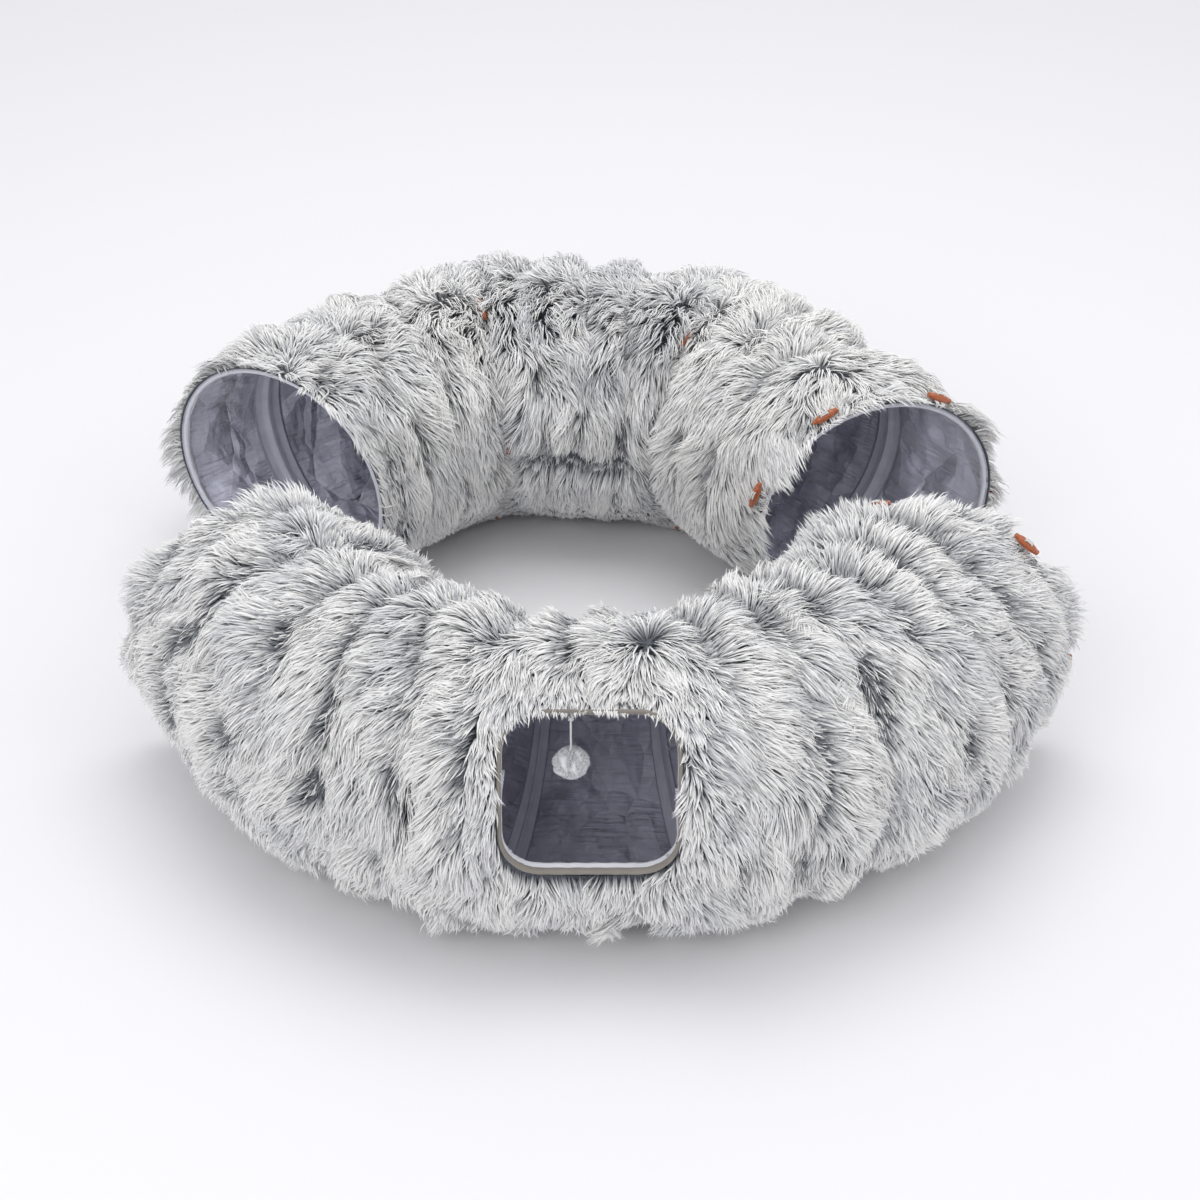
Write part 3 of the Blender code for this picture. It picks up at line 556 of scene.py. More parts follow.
# the crease along the inner side of the rear half, with a soft roll below it
skirt = {"turn": 177.0, "sway": 2.5, "swayBeat": 7.0, "ripple": 1.2, "rippleBeat": 19.0, "width": 4.5,
         "depth": 0.0045, "roll": 0.0045, "rollTurn": 197.0, "rollWidth": 13.0, "from": 61.0, "to": 121.0,
         "fade": 9.0}


def skirtShare(span, angle):
    if span.isFront:
        return 0.0 * angle
    near = np.clip((angle - skirt["from"]) / skirt["fade"], 0.0, 1.0)
    far = np.clip((skirt["to"] - angle) / skirt["fade"], 0.0, 1.0)
    return near * far


# degrees round the tube, past the crease
def pastCrease(angle, phi):
    sway = skirt["sway"] * np.sin(np.radians(angle * skirt["swayBeat"]))
    ripple = skirt["ripple"] * np.sin(np.radians(angle * skirt["rippleBeat"]))
    return apart(phi, 0.0) % 360.0 - (skirt["turn"] + sway + ripple)


def crease(span, angle, phi):
    past = pastCrease(angle, phi)
    dent = skirt["depth"] * bell(past, skirt["width"])
    roll = skirt["roll"] * bell(past + skirt["turn"] - skirt["rollTurn"], skirt["rollWidth"])
    return (roll - dent) * skirtShare(span, angle)


def frontSpans():
    radius, step = frontHalf["radius"], frontHalf["step"]
    angles = [frontHalf["start"] + step * k for k in range(6)]
    inset = degreesOver(tunnel["hoopInset"], radius)
    hoops = [angles[0] + inset, *angles[1:-1], angles[-1] - inset]
    cloth = degreesOver(tunnel["clothStart"], radius)
    spans = []
    for k in range(5):
        first = hoops[k] if k else angles[0] + cloth
        last = hoops[k + 1] if k < 4 else angles[-1] - cloth
        spans.append(Span(f"front_{k + 1}", frontHalf["axis"], (hoops[k], hoops[k + 1]), (radius, radius),
                          (first, last), frontHalf["folds"][k], frontHalf["turns"][k],
                          doorCalm if k == 2 else noCalm, (k == 0, k == 4),
                          (frontHalf["bodies"][k], frontHalf["bodies"][k + 1])))
    return spans, angles, hoops


def rearSpans():
    spans, rims, hoops = [], [], []
    gap = degreesOver(rearHalf["joinGap"] / 2, rearHalf["radius"])
    for k in range(3):
        first, last = rearHalf["ends"][k], rearHalf["ends"][k + 1]
        flat = rearHalf["radius"] * math.cos(math.radians((first - last) / 2))
        middle = (first + last) / 2

        def distance(angle, flat=flat, middle=middle):
            return flat / math.cos(math.radians(angle - middle))

        start = first - (gap if k > 0 else 0.0)
        end = last + (gap if k < 2 else 0.0)
        inset = degreesOver(tunnel["hoopInset"], distance(start))
        rings = (start - inset, rearHalf["middles"][k], end + inset)
        cloth = degreesOver(tunnel["clothStart"], distance(start))
        ends = (start - cloth, end + cloth)
        rims.append((start, end, distance))
        hoops.append(rings)
        for j in range(2):
            n = 2 * k + j
            spans.append(Span(f"rear_{n + 1}", rearHalf["axis"], (rings[j], rings[j + 1]),
                              (distance(rings[j]), distance(rings[j + 1])),
                              (ends[0] if j == 0 else rings[1], rings[1] if j == 0 else ends[1]),
                              rearHalf["folds"][n], rearHalf["turns"][n], skirtCalm,
                              (k == 0 and j == 0, k == 2 and j == 1),
                              (rearHalf["bodies"][3 * k + j], rearHalf["bodies"][3 * k + j + 1])))
    return spans, rims, hoops


front, frontRims, frontHoops = frontSpans()
rear, rearRims, rearHoops = rearSpans()


# moves with the front half's middle, on a mesh of its own
def squeeze(item):
    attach(item, "front_middle")
    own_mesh(item)


# moves with its hoops' body where both hoops share one, or with the front half's middle; else stays put
def bendWith(item, span):
    a, b = span.ends
    if {a, b} == {"front_left_inner", "front_right_inner"}:
        squeeze(item)
    elif a == b:
        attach(item, a)
    else:
        first, last = sorted((span.low, span.high)) if span.last > span.first else (span.low, span.high)
        if span.landFirst:
            first = float(span.land(span.first, 0.0))
        if span.landLast:
            last = float(span.land(span.last, 0.0))
        start = span.point(np.array(first), 0.0, np.array(0.0))
        end = span.point(np.array(last), 0.0, np.array(0.0))
        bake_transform(item)
    return item


# how much nearer to the ring's middle the door's interval lies at its middle than at its hoops
chord = math.cos(math.radians(frontHalf["step"] / 2))


# the door's middle on the tube, and its directions: sideways, up along the cloth, and out
def doorFrame():
    tilt = math.radians(door["tilt"])
    across = np.array((1.0, 0.0, 0.0))
    away = np.array((0.0, -math.cos(tilt), math.sin(tilt)))
    middle = np.array((frontHalf["axis"][0] + door["offset"],
                       frontHalf["axis"][1] - frontHalf["radius"] * chord, tunnel["tubeHeight"]))
    return middle, across, np.cross(away, across), away


# how far outside the door's outline a place lies, seen square on
def doorDistance(spots):
    middle, across, upward, away = doorFrame()
    rel = spots - middle
    x, y, z = np.abs(rel @ across), np.abs(rel @ upward), rel @ away
    qx = x - (door["width"] / 2 - door["corner"])
    qy = y - (door["height"] / 2 - door["corner"])
    outside = np.hypot(np.maximum(qx, 0.0), np.maximum(qy, 0.0)) - door["corner"]
    inside = np.minimum(np.maximum(qx, qy), 0.0)
    return np.where(z > 0.0, outside + inside, 1.0)


def cutDoor(shape, grow):
    faces = list(shape.faces)
    within = doorDistance(np.array([face.calc_center_median() for face in faces])) < grow
    bmesh.ops.delete(shape, geom=[f for f, gone in zip(faces, within) if gone], context="FACES")


# points round the door at a radius about the tube's middle, and the way out of the cloth there
def doorLoop(count, grow, radius):
    half = np.array((door["width"] / 2, door["height"] / 2)) + grow
    corner = door["corner"] + grow
    spots = []
    for number, (sx, sy) in enumerate(((1, 1), (-1, 1), (-1, -1), (1, -1))):
        for k in range(door["cornerSteps"] + 1):
            turn = math.radians(90.0 * (number + k / door["cornerSteps"]))
            spots.append((sx * (half[0] - corner) + corner * math.cos(turn),
                          sy * (half[1] - corner) + corner * math.sin(turn)))
    spots = np.array(spots + spots[:1])
    run = np.concatenate([[0.0], np.cumsum(np.linalg.norm(np.diff(spots, axis=0), axis=1))])
    places = np.linspace(0.0, run[-1], count + 1)[:-1]
    x = np.interp(places, run, spots[:, 0])
    y = np.interp(places, run, spots[:, 1])
    middle, across, upward, away = doorFrame()
    tilt = math.radians(door["tilt"])
    flat = radius * chord
    a = (math.cos(tilt) / flat) ** 2 + (math.sin(tilt) / radius) ** 2
    b = 2.0 * y * math.sin(tilt) * math.cos(tilt) * (1.0 / radius ** 2 - 1.0 / flat ** 2)
    c = (y * math.sin(tilt) / flat) ** 2 + (y * math.cos(tilt) / radius) ** 2 - 1.0
    out = (-b + np.sqrt(b * b - 4.0 * a * c)) / (2.0 * a)
    path = middle + x[:, None] * across + y[:, None] * upward + out[:, None] * away
    spoke = path - middle
    spoke[:, 0] = 0.0
    return path, unit(spoke)


# a rolled edge of oval section along a closed line
def rolledEdge(name, path, outward, wide, high, material, around, pucker):
    count = len(path)
    ahead = unit(np.roll(path, -1, axis=0) - np.roll(path, 1, axis=0))
    side = unit(np.cross(ahead, outward))
    up = np.cross(side, ahead)

    def place(u, v):
        k = np.round(v * count).astype(int) % count
        turn = u * 2.0 * math.pi
        rough = 1.0 + pucker * np.sin(v * count * 0.9 + 2.0 * turn)
        return (path[k] + side[k] * (wide * rough * np.cos(turn))[:, None]
                + up[k] * (high * rough * np.sin(turn))[:, None])

    shape = formGrid(around, count, place)
    return finish(toMesh(shape, name), name, material)


# A place on a rim where a toggle or loop is sewn on, with axes round the tube, into the sleeve and out
class Rim:
    def __init__(self, span, angle, distance, inward):
        self.span, self.angle, self.distance, self.inward = span, angle, distance, inward

    def inset(self, length):
        return self.angle + self.inward * degreesOver(length, self.distance)

    def frame(self, degrees, upright=False):
        step = 2.0 * math.pi / tunnel["ringSides"]
        phi = math.radians(degrees)
        flat = math.cos(step / 2) / math.cos(phi % step - step / 2)
        radius = tunnel["coverRadius"] * flat
        turn = math.radians(self.angle)
        out = np.array((math.cos(turn), math.sin(turn), 0.0))
        up = np.array((0.0, 0.0, 1.0))
        seat = self.span.point(self.angle, radius, phi)
        inward = unit(self.span.point(self.inset(tunnel["rimLand"]), radius, phi) - seat)
        spoke = out * math.cos(phi) + up * math.sin(phi)
        around = up * math.cos(phi) - out * math.sin(phi)
        if np.cross(around, inward) @ spoke < 0.0:
            around = -around
        away = spoke if upright else unit(np.cross(around, inward))
        inward = unit(np.cross(away, around))
        around = np.cross(inward, away)
        cloth = tunnel["clothStart"] * self.span.reach(self.angle, radius, phi) / self.distance
        axes = np.stack([around, inward, away], axis=1)
        return seat, axes, (spoke @ inward) / (spoke @ away), cloth, flat


rims = {
    "rear_left": Rim(rear[0], rearRims[0][0], rearRims[0][2](rearRims[0][0]), -1.0),
    "rear_right": Rim(rear[5], rearRims[2][1], rearRims[2][2](rearRims[2][1]), 1.0),
    "front_left": Rim(front[0], frontRims[0], frontHalf["radius"], 1.0),
    "front_right": Rim(front[4], frontRims[5], frontHalf["radius"], -1.0),
    "joint_left": Rim(rear[1], rearRims[0][1], rearRims[0][2](rearRims[0][1]), 1.0),
    "joint_right": Rim(rear[3], rearRims[1][1], rearRims[1][2](rearRims[1][1]), 1.0),
}

# Toggles: carved bars, each with its cord through two square holes
toggle = {"length": 0.030, "diameter": 0.0090, "holes": (0.0024, 0.0046), "holesApart": 0.0080,
          "cord": 0.0018, "strand": 0.0012, "cordSink": 0.0002, "cordDip": 0.0006, "cordRise": 0.0016,
          "play": 0.0006, "setback": 0.0072, "seamGap": 0.0003, "loopPlay": 0.0004, "clearHalf": 0.012,
          "spinSteps": 18, "sharp": 42.0,
          "profile": ((1.0, 0.0), (1.0, 0.40), (0.985, 0.54), (0.93, 0.63), (0.87, 0.63), (0.84, 0.55),
                      (0.81, 0.65), (0.76, 0.68), (0.73, 0.60), (0.70, 0.72), (0.58, 0.86), (0.40, 0.95),
                      (0.20, 0.99), (0.0, 1.0)),
          "rearTurns": (351.0, 63.0, 117.0, 162.0, 243.0, 297.0),
          "frontTurns": (351.0, 54.0, 117.0, 180.0, 243.0, 297.0),
          "loopTurns": (0.0, 63.0, 117.0, 180.0, 243.0, 297.0), "shownJoint": (108.0, 117.0),
          "jointTurns": ((351.0, 54.0, 108.0, 171.0, 243.0, 297.0),
                         (351.0, 63.0, 117.0, 171.0, 243.0, 297.0))}


def carvedBar():
    shape = bmesh.new()
    half, radius = toggle["length"] / 2, toggle["diameter"] / 2
    outline = [(x * half, r * radius) for x, r in toggle["profile"]]
    outline += [(-x, r) for x, r in outline[-2::-1]]
    spots = [shape.verts.new((x, 0.0, r)) for x, r in outline]
    edges = [shape.edges.new(pair) for pair in zip(spots, spots[1:])]
    bmesh.ops.spin(shape, geom=spots + edges, cent=(0.0, 0.0, 0.0), axis=(1.0, 0.0, 0.0),
                   steps=toggle["spinSteps"], angle=2.0 * math.pi, use_merge=True, use_duplicate=False)
    bmesh.ops.remove_doubles(shape, verts=shape.verts, dist=1e-6)
    bmesh.ops.recalc_face_normals(shape, faces=shape.faces)
    bar = bpy.data.objects.new("carved_bar", toMesh(shape, "carved_bar"))
    bpy.context.scene.collection.objects.link(bar)
    cutters = []
    for side in (-1.0, 1.0):
        block = bmesh.new()
        bmesh.ops.create_cube(block, size=1.0)
        bmesh.ops.scale(block, vec=(*toggle["holes"], 0.03), verts=block.verts)
        bmesh.ops.translate(block, vec=(side * toggle["holesApart"] / 2, 0.0, 0.0), verts=block.verts)
        tool = bpy.data.objects.new("hole", toMesh(block, "hole"))
        bpy.context.scene.collection.objects.link(tool)
        cutters.append(tool)
        cut = bar.modifiers.new("hole", "BOOLEAN")
        cut.operation = "DIFFERENCE"
        cut.solver = "EXACT"
        cut.object = tool
    applied(bar)
    for tool in cutters:
        bpy.data.objects.remove(tool, do_unlink=True)
    mesh = bar.data
    bpy.data.objects.remove(bar, do_unlink=True)
    return mesh


barMesh = carvedBar()


# bars at several places as one piece
def barPiece(name, frames):
    made = bmesh.new()
    for spot, axes in frames:
        matrix = Matrix([[*axes[0], spot[0]], [*axes[1], spot[1]], [*axes[2], spot[2]], [0, 0, 0, 1]])
        copy = barMesh.copy()
        copy.transform(matrix)
        made.from_mesh(copy)
        bpy.data.meshes.remove(copy)
    item = finish(toMesh(made, name), name, materials["wood"])
    item.data.set_sharp_from_angle(angle=math.radians(toggle["sharp"]))
    return item


# points given along a frame's axes, in the scene
def placed(frameOf, points):
    seat, axes = frameOf[:2]
    return seat + np.asarray(points, float) @ axes.T


# three spots along a bar, from which the pile keeps clear or over which it closes
def barSpots(frameOf, setback):
    half = toggle["clearHalf"]
    return placed(frameOf, [(-half, setback, 0.0), (0.0, setback, 0.0), (half, setback, 0.0)])


print("toggles", flush=True)
keepClear, hidden = [], []
liftBar = toggle["play"] + toggle["diameter"] / 2
cordHalf = toggle["cord"] / 2


# a free toggle lies beside the rim, on a cord from the rim's seam through both of its holes
def freeToggle(name, rim, degrees, body, node):
    frameOf = rim.frame(degrees)
    seat, axes, lean, cloth, _ = frameOf
    seam = tunnel["rimOuter"] + toggle["seamGap"] + cordHalf - tunnel["coverRadius"]
    forward = cordHalf + toggle["seamGap"] - cloth
    origin = np.array((0.0, lean * seam - forward, seam))
    setback = toggle["setback"]
    bar = barPiece(name, [(placed(frameOf, [(0.0, setback, liftBar)])[0], axes)])
    side = toggle["holesApart"] / 2
    low = toggle["loopPlay"] + cordHalf
    top = liftBar + toggle["diameter"] / 2 + cordHalf - toggle["cordSink"]
    inner = side - cordHalf * 0.2
    paths = []
    for shift in (-toggle["strand"], toggle["strand"]):
        on, beside = setback + shift, side + shift
        start, dip, rise = lean * low - forward, top - toggle["cordDip"], low + toggle["cordRise"]
        paths.append(placed(frameOf, smoothPath(
            [origin + (-side * 0.5, 0.0, 0.0), (-beside, start, low * 0.7), (-beside, setback * 0.55, low),
             (-side, on, rise), (-side, on, liftBar), (-inner, on, dip), (0.0, on, top),
             (inner, on, dip), (side, on, liftBar), (side, on, rise), (beside, setback * 0.55, low),
             (beside, start, low * 0.7), origin + (side * 0.5, 0.0, 0.0)], 4)))
    cord = cordMesh(f"{name}_cord", paths, toggle["cord"], materials["cord"])
    for item in (bar, cord):
        standIn(item, node, body)
    keepClear.append(barSpots(frameOf, setback))


for number in range(6):
    for half in ("rear", "front"):
        node = f"{half}_toggle_{number + 1}"
        freeToggle(f"toggle_{half}_{number + 1}", rims[f"{half}_right"], toggle[f"{half}Turns"][number],
                   node, node)


# Toggles done up over the two joints of the rear half, with the loops that hold them
joint = {"kink": 22.5, "bulge": 0.28, "nudge": 0.0004, "sunk": -0.0035, "entry": 0.004, "loopPlace": 0.0072,
         "loopRadius": 0.0056, "loopSlant": 0.0006, "loopTurn": (-2.2, 3.75), "loopSteps": 22,
         "loopWidth": 0.0015}


def doneUp(side, turns, node, body):
    rim = rims[f"joint_{side}"]
    frames, cords, loops = [], [], []
    steep = math.atan(math.tan(math.radians(joint["kink"])) + joint["bulge"])
    lift = liftBar / math.cos(steep)
    apartHalf = toggle["holesApart"] / 2
    sunk, entry = joint["sunk"], lift - joint["entry"]
    top = lift + toggle["diameter"] / 2 + cordHalf - toggle["cordSink"]
    dip = top - toggle["cordDip"]
    bow = joint["loopRadius"]
    for degrees in turns:
        frameOf = rim.frame(degrees, upright=True)
        frames.append((placed(frameOf, [(0.0, -joint["nudge"], lift)])[0], frameOf[1]))
        for on in (-toggle["strand"] - joint["nudge"], toggle["strand"] - joint["nudge"]):
            cords.append(placed(frameOf, smoothPath(
                [(-apartHalf * 0.6, on, sunk), (-apartHalf, on, entry), (-apartHalf, on, lift),
                 (-apartHalf * 0.8, on, dip), (0.0, on, top), (apartHalf * 0.8, on, dip),
                 (apartHalf, on, lift), (apartHalf, on, entry), (apartHalf * 0.6, on, sunk)], 4)))
        for x in (-joint["loopPlace"], joint["loopPlace"]):
            ring = [(x + joint["loopSlant"] * math.cos(t), bow * math.cos(t),
                     lift - joint["loopSlant"] + bow * math.sin(t))
                    for t in np.linspace(*joint["loopTurn"], joint["loopSteps"])]
            ring[0] = (x * 0.8, ring[0][1] * 0.4, sunk)
            ring[-1] = (x * 0.8, ring[-1][1] * 0.4, sunk)
            loops.append(placed(frameOf, smoothPath(ring, 2)))
        shown = keepClear if degrees in toggle["shownJoint"] else hidden
        shown.append(barSpots(frameOf, 0.0))
    bars = barPiece(f"toggles_joint_{side}", frames)
    cord = cordMesh(f"toggles_joint_{side}_cord", cords, toggle["cord"], materials["cord"])
    bows = cordMesh(f"toggles_joint_{side}_loops", loops, joint["loopWidth"], materials["beige"])
    for item in (bars, cord, bows):
        standIn(item, node, body)


doneUp("left", toggle["jointTurns"][0], "rear_joined_rims_left", "rear_left_joint")
doneUp("right", toggle["jointTurns"][1], "rear_joined_rims_right", "rear_right_joint")

# Bindings rolled over the end hoops, and the cord loops of the left-hand rims
binding = {"along": 0.0034, "across": 0.0034, "radius": 0.1316, "pucker": 0.04, "steps": 240, "around": 14}
bindings = {
    "rear_left": (rear[0], rearHoops[0][0], "rear_rim_left", "rear_left_mouth"),
    "rear_right": (rear[5], rearHoops[2][2], "rear_rim_right", "rear_right_mouth"),
    "front_left": (front[0], frontHoops[0], "front_rim_left", "front_left_end"),
    "front_right": (front[4], frontHoops[5], "front_rim_right", "front_right_end"),
    "joint_left_1": (rear[1], rearHoops[0][2], "rear_joined_rims_left", "rear_left_joint"),
    "joint_left_2": (rear[2], rearHoops[1][0], "rear_joined_rims_left", "rear_left_joint"),
    "joint_right_1": (rear[3], rearHoops[1][2], "rear_joined_rims_right", "rear_right_joint"),
    "joint_right_2": (rear[4], rearHoops[2][0], "rear_joined_rims_right", "rear_right_joint"),
}
loop = {"width": 0.011, "length": 0.015, "bendSteps": 7}


def bindingPiece(name, span, angle, node, body):
    turns = np.linspace(0.0, 2.0 * math.pi, binding["steps"] + 1)[:-1]
    path = span.point(angle + 0.0 * turns, binding["radius"], turns)
    centre = span.point(np.array(angle), 0.0, np.array(0.0))
    item = rolledEdge(name, path, unit(path - centre), binding["along"], binding["across"],
                      materials["binding"], binding["around"], binding["pucker"])
    standIn(item, node, body)


def loopPiece(name, rim, node, body):
    paths = []
    side = loop["width"] / 2
    rise = toggle["loopPlay"] + cordHalf
    for degrees in toggle["loopTurns"]:
        frameOf = rim.frame(degrees)
        _, _, lean, cloth, flat = frameOf
        start = cloth - cordHalf - toggle["seamGap"]
        sunk = (tunnel["rimOuter"] - tunnel["coverRadius"]) * flat - toggle["cord"]
        bend = [(side * math.cos(t), loop["length"] - side + side * math.sin(t), rise)
                for t in np.linspace(math.pi, 0.0, loop["bendSteps"])]
        paths.append(placed(frameOf, smoothPath(
            [(-side, start + lean * sunk, sunk), (-side, start + lean * rise, rise * 0.8), *bend,
             (side, start + lean * rise, rise * 0.8), (side, start + lean * sunk, sunk)], 3)))
    item = cordMesh(name, paths, toggle["cord"], materials["cord"])
    standIn(item, node, body)


print("bindings", flush=True)
for place, (span, angle, node, body) in bindings.items():
    bindingPiece(f"binding_{place}", span, angle, node, body)
loopPiece("loops_rear_left", rims["rear_left"], "rear_rim_left", "rear_left_mouth")
loopPiece("loops_front_left", rims["front_left"], "front_rim_left", "front_left_end")

# Flat tape rolled over the door's edge, and the hem inside it
doorEdges = {
    "door_edge": {"grow": 0.0, "radius": 0.1375, "wide": 0.0021, "high": 0.0040, "around": 14,
                  "pucker": 0.04, "material": "beige", "slot": "beige_binding"},
    "door_hem": {"grow": -0.0012, "radius": 0.1290, "wide": 0.0010, "high": 0.0060, "around": 10,
                 "pucker": 0.06, "material": "hem", "slot": "pale_lavender_tape"},
}
for name, edge in doorEdges.items():
    path, outward = doorLoop(220, edge["grow"], edge["radius"])
    item = rolledEdge(name, path, outward, edge["wide"], edge["high"], materials[edge["material"]],
                      edge["around"], edge["pucker"])
    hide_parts("door_binding")
    squeeze(item)

# The fur
pile = {"perSquareMetre": 182000, "length": (0.027, 0.039), "bulk": 0.12, "width": 0.0016,
        "rootDepth": 0.0052, "rootLean": (17.0, 54.0), "tipLean": (-4.0, 11.0), "leanLimits": (-0.3, 1.3),
        "droop": (0.16, 0.34), "steps": 3, "spread": 0.18, "clumpSpread": 0.14, "clumpSpacing": 0.0064,
        "clumpPull": 0.56, "pulls": (0.12, 0.6, 1.0), "curl": 0.0019, "tipScatter": 0.0011,
        "floor": 0.0012, "floorScatter": 0.004, "softTop": 0.298, "softening": 0.55, "doorCut": 0.0034,
        "underside": -0.90, "underShare": 0.35}
# the spans that meet at a joint of the rear half: 1 with their last side, -1 with their first
seams = {"rear_2": 1.0, "rear_3": -1.0, "rear_4": 1.0, "rear_5": -1.0}
# how strongly, and over what length, the pile is combed out over each open rim
overhang = {"rear_1": (1.0, 0.016), "rear_6": (2.6, 0.045), "front_1": (1.2, 0.028),
            "front_5": (1.4, 0.030)}
# how much of the dark at the roots is left out
paleness = {"front_1": 0.04, "front_2": 0.04, "front_3": 0.04, "front_4": 0.04, "front_5": 0.04,
            "rear_1": 0.18, "rear_2": 0.18, "rear_3": 0.11, "rear_4": 0.11, "rear_5": 0.21, "rear_6": 0.24}
standingShare = {"front_1": 0.58, "front_2": 0.56, "front_3": 0.50, "front_4": 0.42, "front_5": 0.34,
                 "rear_1": 0.75, "rear_2": 0.9, "rear_3": 1.0, "rear_4": 1.0, "rear_5": 0.75, "rear_6": 0.6}
swirl = Waves(11, 0.09, 0.30)
ruffle = Waves(12, 0.028, 0.07, 14)
tousle = Waves(13, 0.014, 0.03, 14)
bulk = Waves(14, 0.03, 0.09, 12)
parting = Waves(15, 0.05, 0.13, 12)
spotty = Waves(16, 0.035, 0.08, 12)


def surfaceAxes(span, angle, phi, drop):
    step = 1e-3
    spot = span.cloth(angle, phi, drop)
    along = unit(span.cloth(angle + step, phi, drop) - span.cloth(angle - step, phi, drop))
    around = unit(span.cloth(angle, phi + step, drop) - span.cloth(angle, phi - step, drop))
    normal = unit(np.cross(along, around))
    spoke = np.stack([np.cos(np.radians(angle)) * np.cos(phi), np.sin(np.radians(angle)) * np.cos(phi),
                      np.sin(phi)], axis=-1)
    return spot, along, around, normal * np.sign((normal * spoke).sum(axis=1))[:, None]


upright = {"frontTurn": 18.0, "frontSpare": 0.3, "rearTurn": 60.0, "rearSpare": 0.38}


# how far the pile stands up, from 0, pressed flat on the inner sides, to 1, tousled on the outer sides
def standing(span, phi):
    if span.isFront:
        share = np.cos(phi - math.radians(upright["frontTurn"])) + upright["frontSpare"]
        share = share / (1.0 + upright["frontSpare"])
    else:
        share = np.cos(phi - math.radians(upright["rearTurn"])) + upright["rearSpare"]
    return standingShare[span.name] * np.clip(share, 0.0, 1.0)


comb = {"frontCrest": 98.0, "rearCrest": 96.0, "crestWidth": 14.0, "frontMiddle": 270.0, "reach": 30.0,
        "rightDrift": 1.15, "leftDrift": 0.8, "rearDrift": 0.30, "rearLean": 0.10, "frontFolds": 0.85,
        "rearFolds": (0.30, 0.70), "beat": 0.30, "parting": 0.55, "swirl": 0.45, "seam": 1.1,
        "seamReach": 0.020, "toggleReach": 0.030, "door": 0.30, "doorReach": 0.022, "ruffle": 0.24,
        "tousle": 0.18, "crestTousle": 1.8}


# the way the pile lies: down both sides from the top, out from the door, and out over an open rim
def combed(span, angle, phi, spot, along, around):
    stand = standing(span, phi)
    crest = comb["frontCrest"] if span.isFront else comb["rearCrest"]
    side = np.tanh(apart(phi, crest) / comb["crestWidth"])
    top = 1.0 - np.abs(side)
    if span.isFront:
        off = (angle - comb["frontMiddle"]) / comb["reach"]
        drift = np.where(off > 0.0, comb["rightDrift"], comb["leftDrift"]) * np.tanh(off)
        calm = comb["frontFolds"]
    else:
        off = (rearHalf["middles"][1] - angle) / comb["reach"]
        drift = comb["rearDrift"] * np.tanh(off) + comb["rearLean"]
        calm = comb["rearFolds"][0] + comb["rearFolds"][1] * stand
    share = span.wandered(span.share(angle, phi), phi)
    beat = np.sin(2.0 * math.pi * span.folds * share) * span.way
    beat = beat * (comb["beat"] + comb["parting"] * parting.at(spot))
    drift = drift + calm * (beat + comb["swirl"] * swirl.at(spot))
    if span.name in overhang:
        strength, length = overhang[span.name]
        outward = -1.0 if span.landFirst == (span.way > 0.0) else 1.0
        if span.name == "rear_1":
            strength = strength * np.clip(0.5 + 1.6 * np.cos(phi - math.radians(40.0)), -0.35, 1.0)
        drift = drift + outward * strength * bell(span.toRim(angle, phi), length)
    if span.name in seams:
        near = bell(toSeam(span, angle, phi), comb["seamReach"]) * clearance(spot, comb["toggleReach"])
        drift = drift - seams[span.name] * comb["seam"] * near
    if span.name == "front_3":
        middle, across, _, _ = doorFrame()
        near = bell(np.maximum(doorDistance(spot), 0.0), comb["doorReach"])
        drift = drift * (1.0 - near) - comb["door"] * near * np.sign((spot - middle) @ across)
    way = unit(around * side[:, None] + along * drift[:, None] + 1e-6)
    turn = comb["ruffle"] * ruffle.at(spot) + comb["tousle"] * tousle.at(spot)
    turn = turn * (0.5 + 0.5 * stand + comb["crestTousle"] * top * stand)
    return turned(way, np.cross(way, unit(np.cross(along, around))), turn), top


def strands(span, angle, phi, rng, spread):
    spot, along, around, normal = surfaceAxes(span, angle, phi, pile["rootDepth"])
    way, top = combed(span, angle, phi, spot, along, around)
    count = len(angle)
    stand = standing(span, phi)
    turn = rng.normal(0.0, spread, count) * (0.8 + 0.9 * stand)
    way = turned(way, np.cross(normal, way), turn)
    length = rng.uniform(*pile["length"], count) * (1.0 + pile["bulk"] * bulk.at(spot))
    length = length * shorter(span, angle, phi, spot)
    hide = cover(spot)
    rise = 1.0 + (0.10 + 0.16 * stand) * bulk.at(spot) + 0.6 * top * stand + rng.normal(0.0, 0.14, count)
    path = [spot]
    for k in range(pile["steps"]):
        part = k / (pile["steps"] - 1)
        lean = between(pile["rootLean"], stand) * (1.0 - part) + between(pile["tipLean"], stand) * part
        lean = np.clip(np.radians(lean) * rise + 0.8 * hide * (1.0 - part), *pile["leanLimits"])
        step = way * np.cos(lean)[:, None] + normal * np.sin(lean)[:, None]
        step[:, 2] -= between(pile["droop"], stand) * part
        path.append(path[-1] + unit(step) * (length / pile["steps"])[:, None])
    path = np.stack(path, axis=1)
    over = np.maximum(path[:, :, 2] - pile["softTop"], 0.0)
    path[:, :, 2] -= over * pile["softening"]
    return path, normal, way


# how much of the pile's length is missing, and over how many degrees or metres
trim = {"frontLow": (232.0, 0.50), "rearLow": (226.0, 0.66), "lowWidth": 34.0, "under": 0.62,
        "underTurn": 282.0, "underWidth": 26.0, "creasePast": 3.0, "creaseAbove": 14.0,
        "creaseLeast": 0.36, "door": (0.35, 0.30), "doorRise": 0.03, "doorReach": 0.030, "crack": 0.42,
        "covered": 0.95, "toggle": 0.64, "toggleGap": 0.004, "toggleReach": 0.014, "coverReach": 0.026}


